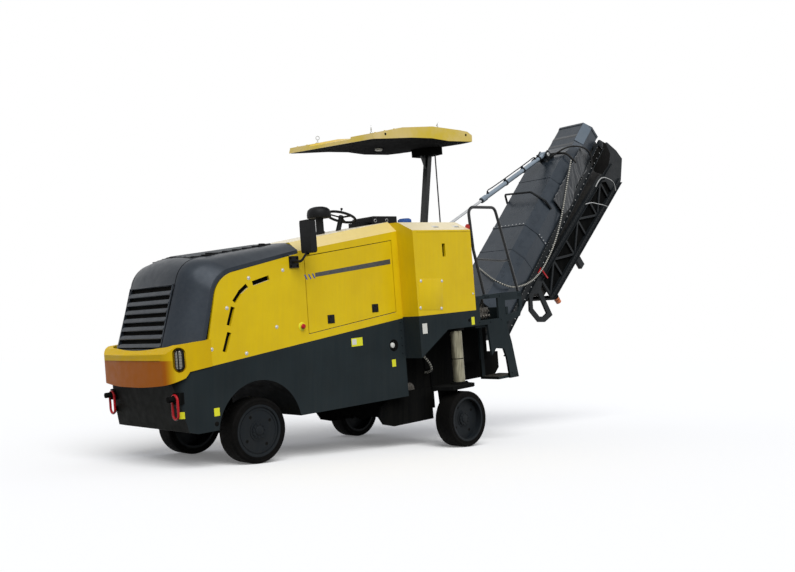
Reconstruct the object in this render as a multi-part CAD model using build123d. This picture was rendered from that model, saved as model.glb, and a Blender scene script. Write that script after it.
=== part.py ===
from build123d import *

import os
from math import cos, hypot, radians, sin, tan

# Cold planer (small wheeled milling machine), in millimetres.
#
# The machine is modelled level, with x forward from the front axle, y to the left of the centre plane
# and z up from the floor under the front wheels.  It parks with its rear legs run out, so the finished
# superstructure is tipped nose-down about the front axle by PITCH before it is written.

# ---------------------------------------------------------------- driving dimensions
PITCH = 6.1            # nose-down attitude with the rear legs run out, degrees
WHEELBASE = 2740       # between the wheel axles, along the floor
TYRE_R = 330
TYRE_W = 240
RIM_R = 264
RIM_WALL = 26
HUB_R = 80
STUB_R = 45            # stub axle
FRONT_WHEEL_Y = 610    # middle of a front tyre
KING_Y = 405           # kingpin
KING_R = 25
REAR_WHEEL_Y = 980     # middle of a rear tyre
BODY_Y = 735           # half width of the engine end
BOX_Y = 1000           # half width of the operator's end
BOX_INNER_Y = 580      # inner side of the tool boxes, beside the platform
FLOOR_Z = 385          # underside of the chassis
SKIN = 30              # thickness of a panel with its frame
FIT = 0.5              # running clearance of a pin in its bore
SEAM_X = -2120         # where the engine end meets the operator's end
HOOD_REAR_X = -640
BOX_REAR_X = -3130
REAR_END_X = -3830
SILL_Z = 1315          # colour split on the operator's end
BOX_TOP_Z = 2310
CHEEK_Z = 1120         # underside of the operator's end
DECK_T = 60            # thickness of the platform floor
SPLIT = ((740, 1014), (SEAM_X, 1302))        # colour split on the engine end: x, z
ARCH = (-30, 505)      # front wheel tunnel: x of its centre, radius

DRUM_X = -2330
DRUM_Z = 430
DRUM_SHELL_R = 265
DRUM_W = 1000
DRUM_BOX_R = 415
DRUM_BOX_Y = 545

LEG_BACK = 115         # how far a lifting column stands behind its wheel's centre
LEG_Y = 897
LEG_R = 72

# conveyor: u runs rearward along the belt from the luffing pivot, w stands square to it
SLEW_X = -3960
COLUMN_R = 60
PIVOT = (-4150, 1050)
PIVOT_PIN_R = 30
INCLINE = 45
LOWER_END_U = 4050
LOWER_Y = 400          # half width of the lower section
BELT_Y = 290
FOLD = (4110, -430)    # folding hinge: u, w
FOLD_TILT = 4.5        # how far past parallel the upper section folds, degrees
UPPER_Y = 365          # half width of the upper section
UPPER_S = (60, 2850)   # from the hinge along the folded upper section
UPPER_N = (-645, -165)
CYL_EYE = (3196, 345)  # barrel pin of the luffing cylinder: u, w
MAST_EYE = (-3800, 2455)
ROD_R = 20
BARREL_R = 34
PISTON_S = 640         # from the barrel pin to the piston
GLAND = 1725           # from the barrel pin to the gland
# the belt cover's sections: u, half width, w of its eaves, w of its top
COVER = ((180, 400, 60, 270), (3100, 400, 60, 270), (3600, 328, 20, 141), (4145, 325, 20, 141))
COVER_SKIN = 15
UPPER_BAYS = 6
# the hose along the cover: u, y, w
HOSE = ((850, -110, 300), (575, 277, 345), (555, 448, 205), (680, 450, 10), (962, 450, -200),
        (1262, 450, -294), (1568, 450, -300), (1887, 450, -272), (2293, 450, -152), (2668, 450, 8),
        (3133, 450, 200))
HOSE_R = 12

# joint ranges in degrees or millimetres, for the record
STEER = 25
LEG_STROKE = 290
SLEW = 25
LUFF_LOW = -32
DOOR_OPEN = 80

STEERING_HUB = (-1920, 2575)
WHEEL_TILT = 21        # the steering wheel's lean towards the operator
TOW_PIN = (645, 770)   # y, z
TOW_COLLAR_X = 858     # the foot plate's face
TOW_PIN_X = 886        # the collar's face
TOW_TIP_X = 945


# ---------------------------------------------------------------- helpers
def prism(points, y0, y1):
    """A plate or block with the outline points (x, z), from y0 to y1."""
    outline = Polyline(*[(x, y0, z) for x, z in points], close=True)
    return extrude(make_face(outline), amount=y1 - y0, dir=(0, 1, 0))


def slab(points, z0, z1):
    """A block with the plan outline points (x, y), from z0 to z1."""
    outline = Polyline(*[(x, y, z0) for x, y in points], close=True)
    return extrude(make_face(outline), amount=z1 - z0, dir=(0, 0, 1))


def cross(points, x0, x1):
    """A block with the section points (y, z), from x0 to x1."""
    outline = Polyline(*[(x0, y, z) for y, z in points], close=True)
    return extrude(make_face(outline), amount=x1 - x0, dir=(1, 0, 0))


def block(x0, x1, y0, y1, z0, z1):
    return Pos((x0 + x1) / 2, (y0 + y1) / 2, (z0 + z1) / 2) * Box(x1 - x0, y1 - y0, z1 - z0)


def rod(a, b, radius, bore=0):
    """A round bar or tube from point a to point b."""
    start, end = Vector(*a), Vector(*b)
    plane = Plane(origin=start, z_dir=end - start)
    length = (end - start).length
    made = extrude(plane * Circle(radius), amount=length)
    if bore:
        made -= extrude(plane * Circle(bore), amount=length)
    return made


def y_disc(x, y0, y1, z, radius, bore=0):
    """A disc or ring about the cross-machine axis."""
    return rod((x, y0, z), (x, y1, z), radius, bore)


def strip(a, b, width):
    """The four corners of a straight bar of that width from a to b, as (x, z)."""
    d = hypot(b[0] - a[0], b[1] - a[1])
    nx, nz = -(b[1] - a[1]) / d * width / 2, (b[0] - a[0]) / d * width / 2
    return [(a[0] + nx, a[1] + nz), (b[0] + nx, b[1] + nz), (b[0] - nx, b[1] - nz), (a[0] - nx, a[1] - nz)]


def mirrored(shape):
    """The shape and its mirror image across the centre plane, as one node."""
    return shape + shape.mirror(Plane.XZ)


def nose_plan(front, shoulder, corner, flank, rear_x, z0, z1):
    """A block with the nose's plan: a bowed front, a rounded corner and a straight flank either side."""
    def at(point, side):
        return (point[0], side * point[1], z0)
    edges = [ThreePointArc(at(shoulder, -1), (front, 0, z0), at(shoulder, 1)),
             Line((rear_x, -flank[1], z0), (rear_x, flank[1], z0))]
    for side in (1, -1):
        edges.append(ThreePointArc(at(shoulder, side), at(corner, side), at(flank, side)))
        edges.append(Line(at(flank, side), (rear_x, side * flank[1], z0)))
    return extrude(make_face(edges), amount=z1 - z0, dir=(0, 0, 1))


def split_z(x):
    """Height of the colour split on the engine end."""
    (x0, z0), (x1, z1) = SPLIT
    return z0 + (z1 - z0) * (x - x0) / (x1 - x0)


def bent_tube(points, radius, bend, sides=8):
    """A bar along points, with its corners bent to an arc, its section a polygon."""
    path = FilletPolyline(*points, radius=bend)
    start = Plane(origin=path @ 0, z_dir=path % 0)
    return sweep(start * RegularPolygon(radius, sides), path=path)


def level_to_stand(shape):
    """From the level machine to the way it stands, nose-down about the front axle."""
    return Pos(0, 0, TYRE_R) * Rot(0, PITCH, 0) * Pos(0, 0, -TYRE_R) * shape


def stand_point(x, y, z):
    """A point of the level machine, where it stands."""
    t = radians(PITCH)
    return (x * cos(t) + (z - TYRE_R) * sin(t), y, TYRE_R - x * sin(t) + (z - TYRE_R) * cos(t))


def belt_line(shape):
    """From the conveyor's own axes, with the belt running along -x, to the level machine."""
    return Pos(PIVOT[0], 0, PIVOT[1]) * Rot(0, INCLINE, 0) * shape


def belt_point(u, w):
    t = radians(INCLINE)
    return (PIVOT[0] - u * cos(t) + w * sin(t), PIVOT[1] + u * sin(t) + w * cos(t))


def circle_corner(a, corner, b, radius):
    """Where a fillet of that radius at the corner starts, its middle, and where it ends."""
    v0, v1 = Vector(*a) - Vector(*corner), Vector(*b) - Vector(*corner)
    half = radians(v0.get_angle(v1)) / 2
    reach = radius / tan(half)
    start = Vector(*corner) + v0.normalized() * reach
    end = Vector(*corner) + v1.normalized() * reach
    to_centre = (v0.normalized() + v1.normalized()).normalized()
    centre = Vector(*corner) + to_centre * (radius / sin(half))
    return start, centre - to_centre * radius, end


# rear wheel centre in the level machine
REAR_AXLE_X = -WHEELBASE * cos(radians(PITCH))
REAR_AXLE_Z = TYRE_R - WHEELBASE * sin(radians(PITCH))
LEG_X = REAR_AXLE_X - LEG_BACK


# ---------------------------------------------------------------- chassis
def bumper_solid():
    """The bumper's outer form: a band round the nose whose ends sweep up along the sides."""
    top = prism([(1100, 1184), (930, 1200), (880, 1252), (830, 1274), (400, 1308), (400, 1500), (1100, 1500)],
                -900, 900)
    foot = prism([(1100, 700), (1100, 875), (985, 880), (940, 905), (793, 960), (745, 1013),
                  (560, split_z(560)), (400, split_z(400)), (400, 700)], -900, 900)
    return nose_plan(990, (950, 560), (890, 690), (780, BODY_Y + 12), 500, 860, 1400) - top - foot


def lamp_pocket(length, width, depth):
    """An upright slot in each corner of the bumper, square to the corner's face."""
    across = Plane(origin=(838, 722, 1135), x_dir=(0, 0, 1), z_dir=(0.72, 0.69, 0))
    return mirrored(extrude(across * SlotOverall(length, width), amount=depth, both=True))


def bumper():
    inner = nose_plan(900, (868, 520), (815, 625), (700, BODY_Y - 55), 400, 800, 1500)
    return bumper_solid() - inner - lamp_pocket(236, 116, 35)


def headlamps():
    """A tall oval lamp sunk in each front corner of the bumper."""
    return lamp_pocket(206, 86, 34) & mirrored(block(600, 856, 600, 735, 900, 1300))


# the nose and the tub's side view from the nose's foot: (x, z)
NOSE = ((780, 440), (700, 415), (SEAM_X, FLOOR_Z), (SEAM_X, split_z(SEAM_X)), (740, split_z(740)),
        (860, 1000), (880, 940))


def tub_form():
    """The tub's outer form: its side view with a rounded nose in plan."""
    return prism(NOSE, -BODY_Y, BODY_Y) & nose_plan(905, (884, 560), (835, 670), (720, BODY_Y), SEAM_X, 300, 1400)


def lower_body():
    """The dark tub that carries everything, open above for the engine and behind for the milling box."""
    body = tub_form()
    body -= block(SEAM_X - 5, 640, -BODY_Y + SKIN, BODY_Y - SKIN, 880, 1400)
    body -= y_disc(ARCH[0], -BODY_Y - 5, BODY_Y + 5, TYRE_R, ARCH[1])
    body -= block(SEAM_X - 5, -1690, -610, 610, 300, 900)
    return body - bumper_solid()


def rear_body():
    """The dark lower half of the operator's end: a hollow wing over each rear wheel and the floor between."""
    outline = [(SEAM_X, 830), (-2600, CHEEK_Z), (BOX_REAR_X, CHEEK_Z), (BOX_REAR_X, SILL_Z), (SEAM_X, SILL_Z)]
    hollow = [(SEAM_X - SKIN, 890), (-2590, CHEEK_Z + SKIN), (BOX_REAR_X + SKIN, CHEEK_Z + SKIN),
              (BOX_REAR_X + SKIN, SILL_Z - SKIN), (SEAM_X - SKIN, SILL_Z - SKIN)]
    wing = prism(outline, BOX_INNER_Y, BOX_Y) - prism(hollow, BOX_INNER_Y + SKIN, BOX_Y - SKIN)
    wing -= rod((LEG_X, LEG_Y, 1000), (LEG_X, LEG_Y, 1400), LEG_R + 1)
    floor = block(BOX_REAR_X, SEAM_X, -BOX_INNER_Y, BOX_INNER_Y, SILL_Z - 40, SILL_Z)
    return mirrored(wing) + floor


def drum_box():
    """The milling box: an arched cover over the drum, open below, with two end walls, and its carrier."""
    half, skin = DRUM_BOX_Y, SKIN
    cover = y_disc(DRUM_X, -half, half, DRUM_Z, DRUM_BOX_R)
    cover += block(DRUM_X - DRUM_BOX_R, DRUM_X + DRUM_BOX_R, -half, half, 150, DRUM_Z)
    inner_r = DRUM_BOX_R - skin
    hollow = y_disc(DRUM_X, -half + skin, half - skin, DRUM_Z, inner_r)
    hollow += block(DRUM_X - inner_r, DRUM_X + inner_r, -half + skin, half - skin, 0, DRUM_Z)
    cover += block(DRUM_X - 300, DRUM_X + 300, -520, 520, DRUM_Z + 300, SILL_Z - 40)
    cover -= hollow + block(DRUM_X - 500, DRUM_X + 500, -1000, 1000, -200, 150)
    return cover - y_disc(DRUM_X, -half - 1, half + 1, DRUM_Z, HUB_R + FIT)


def chute():
    """The trough that leads the millings from the milling box back and drops them on the belt's foot."""
    front = DRUM_X - DRUM_BOX_R
    outer = [(front, 330), (-3500, 390), (-4100, 390), (-4200, 480), (-4200, 700), (-3860, 700), (-3700, 820),
             (-3450, 820), (front, 510)]
    inner = [(front + 1, 352), (-3500, 412), (-4090, 412), (-4178, 490), (-4178, 701), (-3860, 701),
             (-3700, 900), (-3450, 900), (front + 1, 600)]
    return prism(outer, -400, 400) - prism(inner, -380, 380)


def side_plate():
    """Edge protector beside the milling box, guided up and down."""
    outline = [(-2660, 30), (-1990, 40), (-1830, 85), (-1765, 180), (-1800, 300), (-2050, 420), (-2660, 420)]
    return prism(outline, DRUM_BOX_Y + 12, DRUM_BOX_Y + 42)


def drum():
    """The milling drum: a steel tube with cutting tools in three helical rows towards the middle."""
    shell = y_disc(DRUM_X, -DRUM_W / 2, DRUM_W / 2, DRUM_Z, DRUM_SHELL_R)
    shell += y_disc(DRUM_X, -DRUM_BOX_Y, DRUM_BOX_Y, DRUM_Z, HUB_R)
    point = prism([(-16, 0), (16, 0), (4, 55), (-4, 55)], -12, 12)
    tools = []
    for side in (1, -1):
        for row in range(3):
            for i in range(6):
                holder = Pos(0, 0, DRUM_SHELL_R + 14) * Box(70, 36, 48)
                holder += Pos(4, 0, DRUM_SHELL_R + 18) * Rot(0, 38, 0) * point
                turn = Rot(0, row * 120 + i * 25, 0)
                tools.append(Pos(DRUM_X, side * (45 + i * 82), DRUM_Z) * turn * holder)
    return shell + tools


# ---------------------------------------------------------------- engine end
def hood_wire(y, bottom, corner, rear, radius):
    """The hood's section at y: up the nose, round the brow and back along the top."""
    b, c, r = (bottom[0], y, bottom[1]), (corner[0], y, corner[1]), (rear[0], y, rear[1])
    start, middle, end = circle_corner(b, c, r, radius)
    low = (rear[0], y, bottom[1])
    return make_face([Line(b, start), ThreePointArc(start, middle, end), Line(end, r), Line(r, low), Line(low, b)])


# the hood's sections: y, bottom, brow corner, rear edge, brow radius, as (x, z)
HOOD = (
    (0, (885, 1190), (600, 2128), (HOOD_REAR_X, 2252), 280),
    (455, (885, 1190), (590, 2082), (HOOD_REAR_X, 2236), 280),
    (600, (790, 1190), (525, 2045), (HOOD_REAR_X, 2215), 290),
    (BODY_Y, (610, 1190), (405, 1945), (HOOD_REAR_X, 2140), 320),
)
# the same inside the hood; the last is the edge of the side panels
HOOD_INNER = (
    (-1, (850, 1180), (573, 2095), (HOOD_REAR_X - 5, 2219), 250),
    (455, (850, 1180), (563, 2049), (HOOD_REAR_X - 5, 2203), 250),
    (590, (755, 1180), (495, 2010), (HOOD_REAR_X - 5, 2180), 260),
    (BODY_Y + 1, (575, 1180), (372, 1908), (HOOD_REAR_X - 5, 2104), 290),
)
# the louvred air intake in the nose: from and to up the slope, half width, slats
LOUVRE_S = (68, 690)
LOUVRE_Y = 430
LOUVRE_PITCH = 88
LOUVRE_COUNT = 7


def nose_point(s, d):
    """A point on the hood's nose: s up the slope from its foot, d outward from its face, as (x, z)."""
    (foot_x, foot_z), (brow_x, brow_z) = HOOD[0][1], HOOD[0][2]
    length = hypot(brow_x - foot_x, brow_z - foot_z)
    ux, uz = (brow_x - foot_x) / length, (brow_z - foot_z) / length
    return (foot_x + ux * s + uz * d, foot_z + uz * s - ux * d)


def louvre():
    """The slats that fill the hood's air intake: each leans out at its lower edge over the next gap."""
    slats = []
    for k in range(LOUVRE_COUNT):
        s = LOUVRE_S[0] + k * LOUVRE_PITCH
        top = s + LOUVRE_PITCH - 22
        outline = [nose_point(s, -26), nose_point(s, 2), nose_point(top, -14), nose_point(top, -26)]
        slats.append(prism(outline, -LOUVRE_Y, LOUVRE_Y))
    return slats


def hood():
    """The moulded hood: a hollow shell with a louvred nose and a seam round its middle panel."""
    def form(sections):
        faces = [hood_wire(*row) for row in sections]
        solid = loft(faces[:2], ruled=True)
        for near, far in zip(faces[1:], faces[2:]):
            solid += loft([near, far], ruled=True)
        return solid
    y, bottom, brow, rear, radius = HOOD[1]
    half = form(HOOD) - form(HOOD_INNER)
    groove = extrude(hood_wire(y - 8, bottom, brow, rear, radius), amount=6, dir=(0, 1, 0))
    groove -= extrude(hood_wire(y - 8, (bottom[0] - 9, bottom[1] - 9), (brow[0] - 6, brow[1] - 9),
                                (rear[0], rear[1] - 9), radius), amount=6, dir=(0, 1, 0))
    shell = mirrored(half - groove)
    intake = [nose_point(LOUVRE_S[0] - 14, -24), nose_point(LOUVRE_S[0] - 14, 60), nose_point(LOUVRE_S[1], 60),
              nose_point(LOUVRE_S[1], -24)]
    shell -= prism(intake, -LOUVRE_Y, LOUVRE_Y)
    return shell + louvre() - bumper_solid()


# the top-hinged engine door: (x, z)
DOOR = ((-712, 1238), (-2022, 1378), (-2026, 2222), (-722, 2072))
DOOR_GAP = 8
# the air slots in the side panel, each from a to b: (x, z)
AIR_SLOTS = (((344, 1160), (273, 1345)), ((275, 1414), (209, 1592)), ((192, 1640), (110, 1735)),
             ((122, 1727), (24, 1796)), ((-44, 1813), (-252, 1864)))
AIR_SLOT_W = 48


def side_panel():
    """The left engine side under the hood's edge: one sheet with its door opening and its air slots."""
    y, bottom, corner, rear, radius = HOOD_INNER[-1]
    gap = 4
    front = hood_wire(BODY_Y, (bottom[0] - gap, split_z(bottom[0])), (corner[0] - gap, corner[1] - gap),
                      (HOOD_REAR_X, rear[1] - gap), radius)
    front = extrude(front, amount=SKIN, dir=(0, -1, 0))
    rear_part = prism([(HOOD_REAR_X, split_z(HOOD_REAR_X)), (SEAM_X, split_z(SEAM_X)), (SEAM_X, 2327),
                       (HOOD_REAR_X, 2126)], BODY_Y - SKIN, BODY_Y)
    low = prism([(700, split_z(700)), (SEAM_X, split_z(SEAM_X)), (SEAM_X, 900), (700, 900)], 0, 900)
    slots = [prism(strip(a, b, AIR_SLOT_W), 0, 900) for a, b in AIR_SLOTS]
    return front + rear_part - low - prism(DOOR, 0, 900) - bumper_solid() - slots


def door():
    mid_x = sum(p[0] for p in DOOR) / 4
    mid_z = sum(p[1] for p in DOOR) / 4
    leaf = [(x - DOOR_GAP * (1 if x > mid_x else -1), z - DOOR_GAP * (1 if z > mid_z else -1)) for x, z in DOOR]
    return prism(leaf, BODY_Y - SKIN, BODY_Y)


def deck_form(drop):
    """The deck's outer form, lowered by drop: bevelled sides and a flat top, rising to the rear."""
    def section(x, edge, rise):
        pts = [(x, -BODY_Y, edge), (x, -600 + drop, edge + rise - drop), (x, 600 - drop, edge + rise - drop),
               (x, BODY_Y, edge)]
        return make_face(Polyline(*pts, close=True))
    return loft([section(HOOD_REAR_X, 2126, 105), section(SEAM_X, 2327, 120)], ruled=True)


def deck():
    """The engine end's top cover: a folded sheet with bevelled sides."""
    return deck_form(0) - Pos(0, 0, -5) * deck_form(SKIN)


def engine():
    return block(-1600, -350, -330, 330, 880, 1750)


# ---------------------------------------------------------------- operator's end
def rear_box():
    """The left tool box beside the platform, hollow, with a sloping lid and room for the column."""
    outer = [(BOX_Y, SILL_Z), (BOX_Y, BOX_TOP_Z), (BOX_Y - 230, BOX_TOP_Z + 115), (BOX_INNER_Y, BOX_TOP_Z + 120),
             (BOX_INNER_Y, SILL_Z)]
    inner = [(BOX_Y - SKIN, SILL_Z + SKIN), (BOX_Y - SKIN, BOX_TOP_Z - SKIN), (BOX_Y - 230, BOX_TOP_Z + 80),
             (BOX_INNER_Y + SKIN, BOX_TOP_Z + 85), (BOX_INNER_Y + SKIN, SILL_Z + SKIN)]
    shell = cross(outer, BOX_REAR_X, SEAM_X) - cross(inner, BOX_REAR_X + SKIN, SEAM_X - SKIN)
    shell -= prism(strip((-2628, 1991), (-2628, 2146), 52), BOX_Y - 2 * SKIN, BOX_Y + 1)
    return shell - rod((LEG_X, LEG_Y, 1200), (LEG_X, LEG_Y, 1400), LEG_R + 1)


def water_cap():
    """The filler cap on the left box's lid."""
    return rod((-2345, 660, BOX_TOP_Z + 116), (-2345, 660, BOX_TOP_Z + 160), 78) - rear_box()


def platform():
    floor = block(REAR_END_X + 40, SEAM_X, -BOX_INNER_Y, BOX_INNER_Y, SILL_Z, SILL_Z + DECK_T)
    bulkhead = block(SEAM_X - 60, SEAM_X, -BOX_INNER_Y, BOX_INNER_Y, SILL_Z + DECK_T, 2400)
    return floor + bulkhead


def rear_frame():
    """Rear frame: a box under the platform's end and the slewing bearings of the conveyor."""
    web = block(BOX_REAR_X - SKIN, BOX_REAR_X, -BOX_Y + SKIN, BOX_Y - SKIN, CHEEK_Z, SILL_Z)
    tie = block(REAR_END_X + 40, REAR_END_X + 80, -BOX_Y + SKIN, BOX_Y - SKIN, CHEEK_Z, SILL_Z)
    frame = web + tie + block(REAR_END_X + 40, BOX_REAR_X, -BOX_Y + SKIN, BOX_Y - SKIN, CHEEK_Z - 30, CHEEK_Z)
    for z0, z1 in ((CHEEK_Z - 30, CHEEK_Z + 20), (SILL_Z - 50, SILL_Z)):
        frame += block(SLEW_X, REAR_END_X + 40, -130, 130, z0, z1) + rod((SLEW_X, 0, z0), (SLEW_X, 0, z1), 130)
    return frame - rod((SLEW_X, 0, 1000), (SLEW_X, 0, 1500), COLUMN_R + FIT)


def ladder():
    """The left boarding ladder: its side plate with the handrail's bracket, the step and its hanger."""
    outline = [(BOX_REAR_X, CHEEK_Z), (-3330, CHEEK_Z), (-3370, 730), (-3460, 810), (-3610, 790), (-3660, 670),
               (-3700, 405), (-3870, 405), (-3780, 850), (-3700, 1120), (-3990, 1180), (-4045, 1300),
               (-4045, 1500), (-3640, 1500), (BOX_REAR_X, 1480)]
    plate = prism(outline, BOX_Y - SKIN, BOX_Y) - block(-3560, -3200, 900, 1100, 1180, 1440)
    plate -= prism([(-3700, 1210), (-3960, 1240), (-3990, 1300), (-3990, 1400), (-3700, 1400)], 900, 1100)
    step = block(-3860, -3500, BOX_Y - 330, BOX_Y - SKIN, 410, 440)
    hanger = block(-3560, -3500, BOX_Y - 330, BOX_Y - 300, 440, CHEEK_Z - 30)
    return plate + step + hanger


def handrail():
    y = BOX_Y - SKIN / 2
    loop = bent_tube([(-3333, y, 1470), (-3180, y, 2060), (-3140, y, 2590), (-3650, y, 2590), (-4012, y, 1470)],
                     19, 90)
    rail = loop + bent_tube([(-3206, y, 1945), (-3700, y, 1905), (-3870, y, 1910)], 14, 300, 6)
    return rail - block(-4100, -3200, 900, 1100, 1300, 1500)


# the canopy's side beam from the front: (x, z) of the underside, then back along the top
CANOPY_LOW = ((-1810, 3431), (-2000, 3446), (-2450, 3486), (-2800, 3501), (-3100, 3486), (-3560, 3506),
              (-3650, 3510))
CANOPY_TOP = ((-3640, 3540), (-3460, 3626), (-3320, 3636), (-2810, 3646), (-2290, 3596), (-1830, 3501))
CANOPY_Y = (385, 790)  # half width of the middle panel and of the whole roof
CANOPY_DISH = 26       # how far the middle panel lies below the side beams
CANOPY_ROLL = 3.3      # degrees


def canopy_form(drop):
    """The roof's outer form, its top lowered by drop: a flat middle between two raised side beams."""
    top = [(x, z - drop) for x, z in CANOPY_TOP]
    beam = prism(CANOPY_LOW + tuple(top), -CANOPY_Y[1], CANOPY_Y[1])
    middle = [(-1700, 3380), (-3700, 3380), (-3700, 3700)] + [(x, z - CANOPY_DISH) for x, z in top]
    channel = prism([(-1700, 3800), (-3700, 3800)] + middle[2:] + [(-1700, middle[-1][1])],
                    -CANOPY_Y[0], CANOPY_Y[0])
    plan = [(-1700, -900), (-1700, 900), (-3540, 900), (-3545, CANOPY_Y[1]), (-3640, 500), (-3640, -500),
            (-3545, -CANOPY_Y[1]), (-3540, -900)]
    return (beam - channel) & slab(plan, 3000, 4000)


def rolled(shape):
    """The roof has settled a little down to its left."""
    return Pos(0, 0, 3450) * Rot(-CANOPY_ROLL, 0, 0) * Pos(0, 0, -3450) * shape


def canopy():
    """The roof: a pressed shell, open below, stiffened by ribs, with the post's mounting block."""
    inside = [(-1840, 3300), (-3600, 3300)]
    shell = canopy_form(0) - (Pos(0, 0, -SKIN) * canopy_form(0) & prism(
        inside + [(-3600, 3800), (-1840, 3800)], -CANOPY_Y[1] + SKIN, CANOPY_Y[1] - SKIN))
    shell -= prism([(-1850, 3300), (-3590, 3300), (-3590, 3480), (-1850, 3440)],
                   -CANOPY_Y[1] + SKIN, CANOPY_Y[1] - SKIN)
    for x in (-2250, -2700, -3150):
        shell += block(x - 20, x + 20, -CANOPY_Y[1] + 10, CANOPY_Y[1] - 10, 3470, 3800) & canopy_form(0)
    boss = block(-3630, -3400, -160, 180, 3410, 3800) & prism(
        [(-3700, 3400), (-3300, 3400)] + [(x, z - CANOPY_DISH) for x, z in CANOPY_TOP[::-1]], -200, 200)
    return rolled(shell) + boss


def canopy_post():
    """The canopy's single flat post with its gusset, leaning back from the platform, and the cable pipe."""
    floor, top = SILL_Z + DECK_T, 3410
    post = prism([(-3175, floor), (-3114, floor), (-3504, top), (-3577, top)], -40, 40)
    gusset = prism([(-3470, 3230), (-3400, top), (-3520, top)], -15, 15)
    return post + gusset + rod((-3510, 160, floor), (-3510, 160, top), 9)


def console():
    """The padded instrument box behind the engine end, its bracket and the steering column."""
    box = block(-2690, -2255, -190, 190, 2465, 2565)
    box = fillet(box.edges().filter_by(Axis.Y) + box.edges().filter_by(Axis.Z), 22)
    box += block(-2280, SEAM_X - 5, -110, 110, 2400, 2500)
    t = radians(WHEEL_TILT)
    x, z = STEERING_HUB
    column = rod((x + 26 * sin(t), 0, z - 26 * cos(t)), (x + 260 * sin(t), 0, z - 260 * cos(t)), 30)
    return box + (column - deck_form(0) - block(-2000, -1500, -100, 100, 2000, 2300))


def air_intake():
    """The mushroom cap of the engine's air cleaner on its stalk."""
    x, base, rim, top = -1575, 2200, 2520, 2695
    rings = ((125, rim), (142, rim + 40), (138, rim + 90), (60, top))
    cap = loft([Pos(0, 0, z) * RegularPolygon(radius, 24) for radius, z in rings], ruled=True)
    stalk = Pos(0, 0, base) * extrude(RegularPolygon(48, 16), amount=rim + 10 - base)
    return Pos(x, 0, 0) * (cap + stalk) - deck_form(0) - block(-2000, -1000, -200, 200, 2000, 2290)


def steering_wheel():
    """A rim on three spokes with its hub."""
    ring = extrude(RegularPolygon(192, 18) - RegularPolygon(160, 18), amount=13, both=True)
    for k in range(3):
        ring += Rot(0, 0, 60 + 120 * k) * Pos(85, 0, -4) * Box(160, 26, 12)
    ring += extrude(RegularPolygon(34, 8), amount=22, both=True)
    return Pos(STEERING_HUB[0], 0, STEERING_HUB[1]) * Rot(0, -WHEEL_TILT, 0) * ring


def mirror():
    """The left mirror: a deep housing on a bent arm from the side panel."""
    arm = bent_tube([(-560, BODY_Y, 2010), (-560, 900, 2010), (-610, 940, 2100)], 14, 40, 6)
    plate = block(-640, -520, BODY_Y, BODY_Y + 14, 1950, 2075)
    housing = Pos(-640, 940, 2262) * Box(75, 175, 345)
    return arm + plate + fillet(housing.edges().filter_by(Axis.X), 30)


def tow_pin():
    """The left tow pin: a foot plate on the nose, a collar that carries the link, and the pin."""
    y, z = TOW_PIN
    foot = block(760, TOW_COLLAR_X, y - 55, y + 55, z - 55, z + 55) - tub_form()
    return foot + rod((TOW_COLLAR_X, y, z), (TOW_PIN_X, y, z), 34) + rod((TOW_PIN_X, y, z), (TOW_TIP_X, y, z), 28)


def tow_link():
    """The lashing link that hangs on the left tow pin's collar."""
    y, z = TOW_PIN
    middle = (TOW_COLLAR_X + TOW_PIN_X) / 2
    drop, inner, wire = 130, 40, 22
    ring = SlotCenterToCenter(drop, 2 * inner + 2 * wire) - SlotCenterToCenter(drop, 2 * inner)
    link = extrude(ring, amount=wire / 2, both=True)
    hung = Plane(origin=(middle, y, z + 34.2 - inner - drop / 2), x_dir=(0, 0, 1), z_dir=(1, 0, 0))
    return hung * link


# ---------------------------------------------------------------- running gear
def wheel(x, y, z, outward, disc_y):
    """A solid tyre on a steel rim with its hub; outward is +1 on the left and -1 on the right.

    disc_y is where the disc lies, outward of the wheel's middle.
    """
    shoulder, half = 24, TYRE_W / 2
    section = [(RIM_R, -half), (TYRE_R - shoulder, -half), (TYRE_R, -half + shoulder), (TYRE_R, half - shoulder),
               (TYRE_R - shoulder, half), (RIM_R, half)]
    turned = make_face(Polyline(*[(0, side_y, r) for r, side_y in section], close=True))
    tyre = Pos(x, y, z) * revolve(turned, Axis.Y)
    rim = y_disc(x, y - half + 6, y + half - 6, z, RIM_R, RIM_R - RIM_WALL)
    disc = y_disc(x, y + outward * (disc_y - 22), y + outward * disc_y, z, RIM_R - RIM_WALL)
    hub = y_disc(x, y - outward * 60, y + outward * (disc_y + 6), z, HUB_R + 22)
    hub += y_disc(x, y + outward * disc_y, y + outward * max(disc_y + 14, 60), z, HUB_R)
    bore = y_disc(x, y - outward * 70, y + outward * 12, z, STUB_R + FIT)
    return tyre, rim + disc + hub - bore


def front_axle():
    """The front axle: a beam with an eye at each end, hung from the chassis by a pivot stand."""
    beam = block(-60, 60, -KING_Y, KING_Y, TYRE_R - 55, TYRE_R + 55)
    eye = rod((0, KING_Y, TYRE_R - 55), (0, KING_Y, TYRE_R + 55), 60)
    stand = block(-90, 90, -140, 140, TYRE_R + 55, TYRE_R + 600)
    stand &= y_disc(ARCH[0], -200, 200, TYRE_R, ARCH[1])
    bore = rod((0, KING_Y, 0), (0, KING_Y, 600), KING_R + FIT)
    return beam + eye + eye.mirror(Plane.XZ) + stand - bore - bore.mirror(Plane.XZ)


def knuckle():
    """The left steering knuckle: two ears on the kingpin, a web and the stub axle."""
    gap = 6
    ears = block(-55, 55, KING_Y - 55, 515, TYRE_R - 105, TYRE_R + 105)
    ears -= block(-60, 60, 0, KING_Y + 60 + gap, TYRE_R - 55 - gap, TYRE_R + 55 + gap)
    pin = rod((0, KING_Y, TYRE_R - 105), (0, KING_Y, TYRE_R + 105), KING_R)
    return ears + pin + y_disc(0, 510, FRONT_WHEEL_Y + 10, TYRE_R, STUB_R)


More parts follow.
